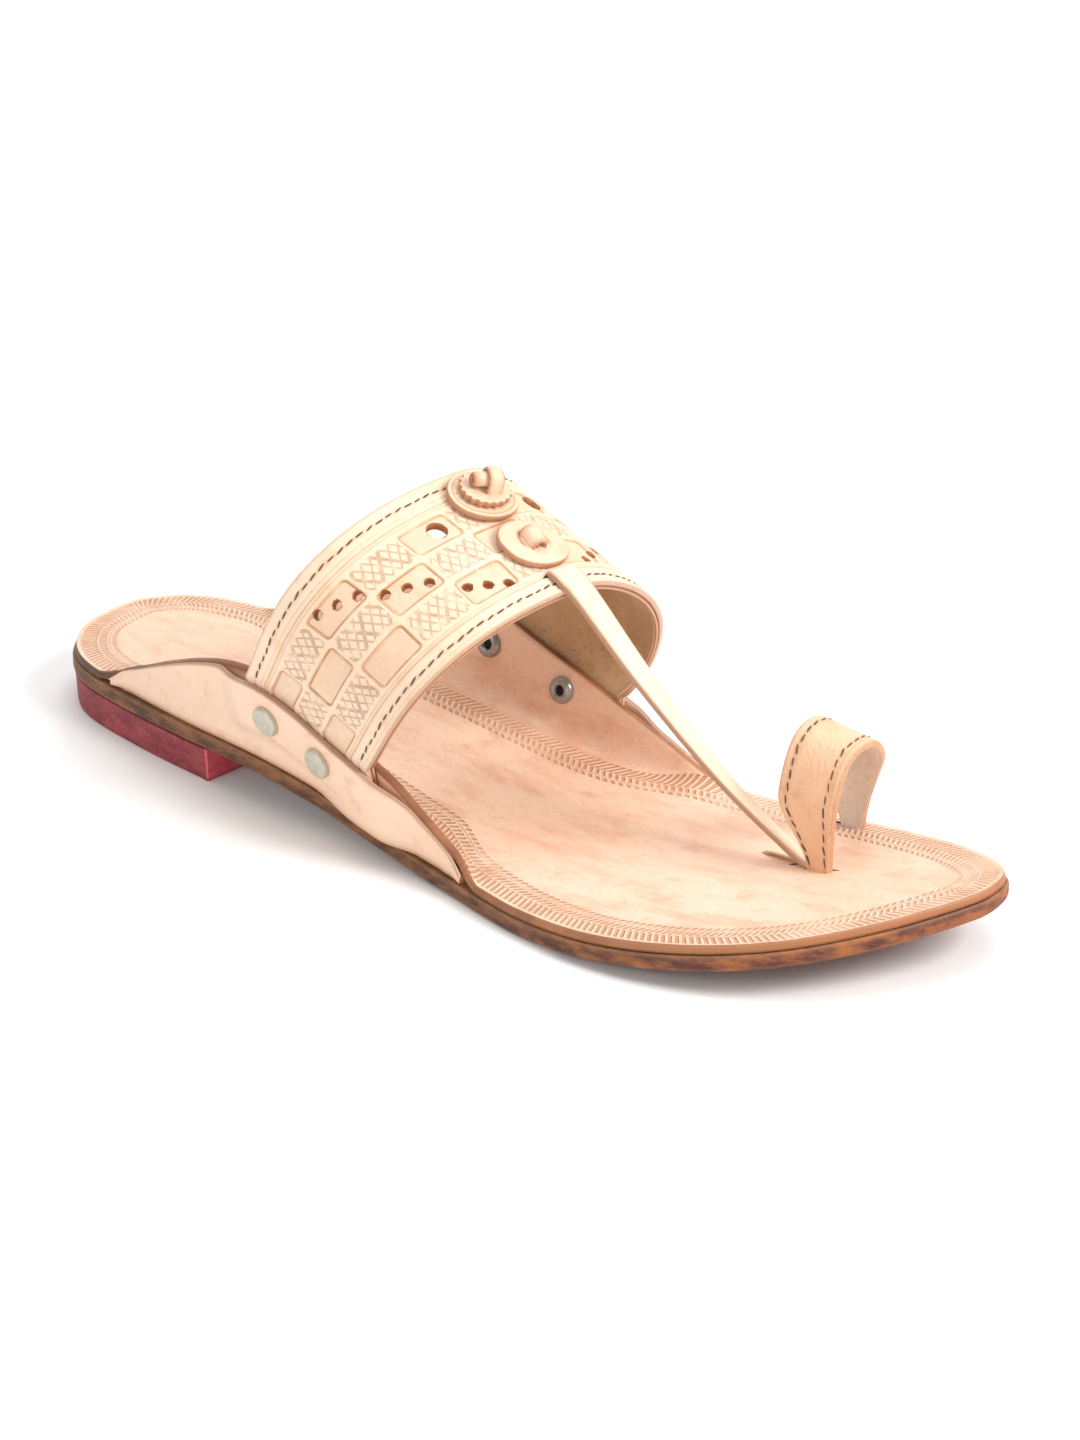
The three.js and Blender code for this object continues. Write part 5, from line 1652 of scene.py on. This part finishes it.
knot_base = pinked_base + DISC_THICK
rear_roll = scroll("rear_knot_roll", REAR_BUTTON, knot_base - 0.3, turns=1.7, outer=2.35,
                   width=8.2, axis_turn=REAR_KNOT_TURN)
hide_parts("rear_button_knot")
bridge_strip("rear_knot_bridge", REAR_BUTTON, knot_base - 0.2, height=4.9, span=5.6,
             width=3.9, axis_turn=REAR_KNOT_TURN, side_step=1.3)
scroll("rear_knot_curl", REAR_BUTTON, knot_base - 0.2, turns=1.25, outer=1.45, width=4.2,
       axis_turn=CURL_TURN, side_step=2.0, thick=0.9)
front_roll = scroll("front_knot_roll", FRONT_BUTTON, CLEAR + DISC_THICK - 2.5, turns=1.4,
                    outer=2.9, width=6.8, axis_turn=FRONT_KNOT_TURN)
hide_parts("front_button_knot")


# %% [markdown]
# ## Rivets
#
# Two rivets go through each pair of ears with the band's foot between them. Outside there is a
# flat cap, inside the rolled end of a tube, whose dark hole is a black disc painted as its
# shadow. Both are turned shapes, set by the same tree as the stitches.

# %% Set the rivets
RIVET_CAP = 7.8
CAP_HIGH = 1.2
TUBE_HIGH = 1.45
TUBE_HOLE = 2.5
RIVET_SEAT = 0.35
RIVET_SUNK = 0.1
RIVETS = [
    ("rivet_outer_rear", OUTER, 0.377, 7.3), ("rivet_outer_front", OUTER, 0.441, 7.0),
    ("rivet_inner_rear", INNER, 0.394, 9.0), ("rivet_inner_front", INNER, 0.479, 6.5),
]
LAYERS = INSOLE_THICK + CLEAR + BAND_THICK + CLEAR + EAR_THICK


def rivet_axis(side, share, below):
    s = share * LENGTH
    z = float(ear_top(s, side)) - below
    foot = np.array([s, float(ear_face(s, side, z, 0)), z])
    run = np.array([4, float(ear_face(s + 2, side, z, 0)) - float(ear_face(s - 2, side, z, 0)), 0])
    up = np.array([0, side * math.cos(TURN), math.sin(TURN)])
    out = np.cross(run, up)
    out /= np.linalg.norm(out)
    return foot, out if out[1] * side > 0 else -out, run / np.linalg.norm(run)


cap_shape = template_from("cap_shape", [
    (0.48, -0.6), (0.5, -0.1), (0.5, 0.45), (0.49, 0.75), (0.465, 0.93), (0.43, 1.0),
    (0.25, 1.02), (0.02, 1.03)], 40)
tube_shape = template_from("tube_shape", [
    (0.44, -0.5), (0.44, 0.25), (0.43, 0.5), (0.39, 0.75), (0.34, 0.95), (0.27, 1.05), (0.21, 0.95),
    (0.17, 0.7), (0.155, 0.3), (0.15, -0.3), (0.02, -0.3)], 40)
plug_shape = template_from("plug_shape", [(0.5, -0.5), (0.5, 0.4), (0.3, 0.5), (0.02, 0.5)], 24)
axes = [rivet_axis(side, share, below) for _, side, share, below in RIVETS]
names = [row[0] for row in RIVETS]
outside = [foot + out * (LAYERS + RIVET_SEAT - RIVET_SUNK) for foot, out, _ in axes]
inside = [foot - out * (RIVET_SEAT - RIVET_SUNK) for foot, out, _ in axes]
outs = [out for _, out, _ in axes]
alongs = [run for _, _, run in axes]
caps = set_pieces("rivet_caps", outside, outs, alongs, cap_shape,
                  (RIVET_CAP, RIVET_CAP, CAP_HIGH), pale_metal)
tubes = set_pieces("rivet_tubes", inside, [-out for out in outs], alongs, tube_shape,
                   (RIVET_CAP, RIVET_CAP, TUBE_HIGH), dark_metal)
# a black disc in each tube stands as the painted shadow of its hole
hollow_shadows = set_pieces("rivet_hollows", inside, [-out for out in outs], alongs, plug_shape,
                   (TUBE_HOLE, TUBE_HOLE, 0.9), hole_shadow_black)
remove(cap_shape, tube_shape, plug_shape, stitch_bar)
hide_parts(*names)
for piece in (caps, tubes, hollow_shadows):
    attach(piece, "root")


# %% [markdown]
# ## Floor, light and camera
#
# The stage is a plain pale floor that curves up behind. The main light is a soft panel on the
# toe's side, with a wide one overhead, a fill from the near side and pale surroundings. The
# camera stands where the reference view was taken from: about a metre away, on the outer side
# and in front of the toe, with the view cut closer round the sandal.

# %% Light and frame the sandal
def stage_floor():
    size, rise, bend, flat = 2.4, 1.4, 0.5, 0.9
    away = Vector((-0.66, 0.75, 0.0)).normalized()
    aside = Vector((away.y, -away.x, 0.0))
    profile = [(-size, 0.0), (flat, 0.0)]
    profile += [(flat + bend * math.sin(a), bend * (1 - math.cos(a)))
                for a in np.linspace(0.1, math.pi / 2, 14)]
    profile += [(flat + bend, rise)]
    points = [away * d + aside * w + Vector((0, 0, z)) for d, z in profile for w in (-size, size)]
    faces = [[2 * i, 2 * i + 1, 2 * i + 3, 2 * i + 2] for i in range(len(profile) - 1)]
    mesh = bpy.data.meshes.new("studio_floor")
    mesh.from_pydata(points, [], faces)
    mesh.shade_smooth()
    r = Recipe("studio_paper", roughness=0.9, specular=0.1)
    colour = r.blend(r.noise(2.0), (0.92, 0.92, 0.93), (0.94, 0.94, 0.94))
    mesh.materials.append(r.finish(colour, r.noise(400), 0.01))
    floor = bpy.data.objects.new("studio_floor", mesh)
    bpy.context.scene.collection.objects.link(floor)


def panel(name, place, target, size, power, colour):
    light = bpy.data.lights.new(name, "AREA")
    light.shape = "RECTANGLE"
    light.size, light.size_y = size
    light.energy = power
    light.color = colour
    lamp = bpy.data.objects.new(name, light)
    lamp.location = place
    lamp.rotation_euler = (Vector(target) - Vector(place)).to_track_quat("-Z", "Y").to_euler()
    bpy.context.scene.collection.objects.link(lamp)


stage_floor()
CENTRE = (0.1, 0.0, 0.03)
panel("toe_side_panel", (1.15, 0.35, 0.85), CENTRE, (0.6, 0.6), 16.5, (1.0, 0.985, 0.965))
panel("overhead_panel", (-0.1, 0.35, 1.5), CENTRE, (1.3, 1.3), 11.5, (1.0, 0.995, 0.985))
panel("near_fill", (0.2, -1.4, 0.6), CENTRE, (1.2, 0.8), 7.5, (1.0, 0.99, 0.98))
world = bpy.data.worlds.new("pale_room")
world.use_nodes = True
world.node_tree.nodes["Background"].inputs[0].default_value = (1.0, 0.985, 0.965, 1)
world.node_tree.nodes["Background"].inputs[1].default_value = 0.48
bpy.context.scene.world = world
bpy.context.scene.view_settings.view_transform = "Standard"

CAMERA_PLACE = Vector((738.86, -658.51, 422.86)) * MM
AZIMUTH, HEIGHT = math.radians(41.30), math.radians(23.79)
AIM = Vector((105.8, 18.3, 18.3)) * MM
VIEW_CLOSER = 1.349
FOCAL_PIXELS = 3057.4 * VIEW_CLOSER
IMAGE_WIDTH = 1080
camera = bpy.data.cameras.new("camera")
camera.sensor_fit = "HORIZONTAL"
camera.sensor_width = 36
camera.lens = FOCAL_PIXELS / IMAGE_WIDTH * camera.sensor_width
stand = bpy.data.objects.new("camera", camera)
stand.location = CAMERA_PLACE
level_view = Vector((-math.sin(AZIMUTH) * math.cos(HEIGHT), math.cos(AZIMUTH) * math.cos(HEIGHT),
                     -math.sin(HEIGHT)))
swing = level_view.rotation_difference(AIM - CAMERA_PLACE)
stand.rotation_euler = (swing @ level_view.to_track_quat("-Z", "Y")).to_euler()
bpy.context.scene.collection.objects.link(stand)
bpy.context.scene.camera = stand
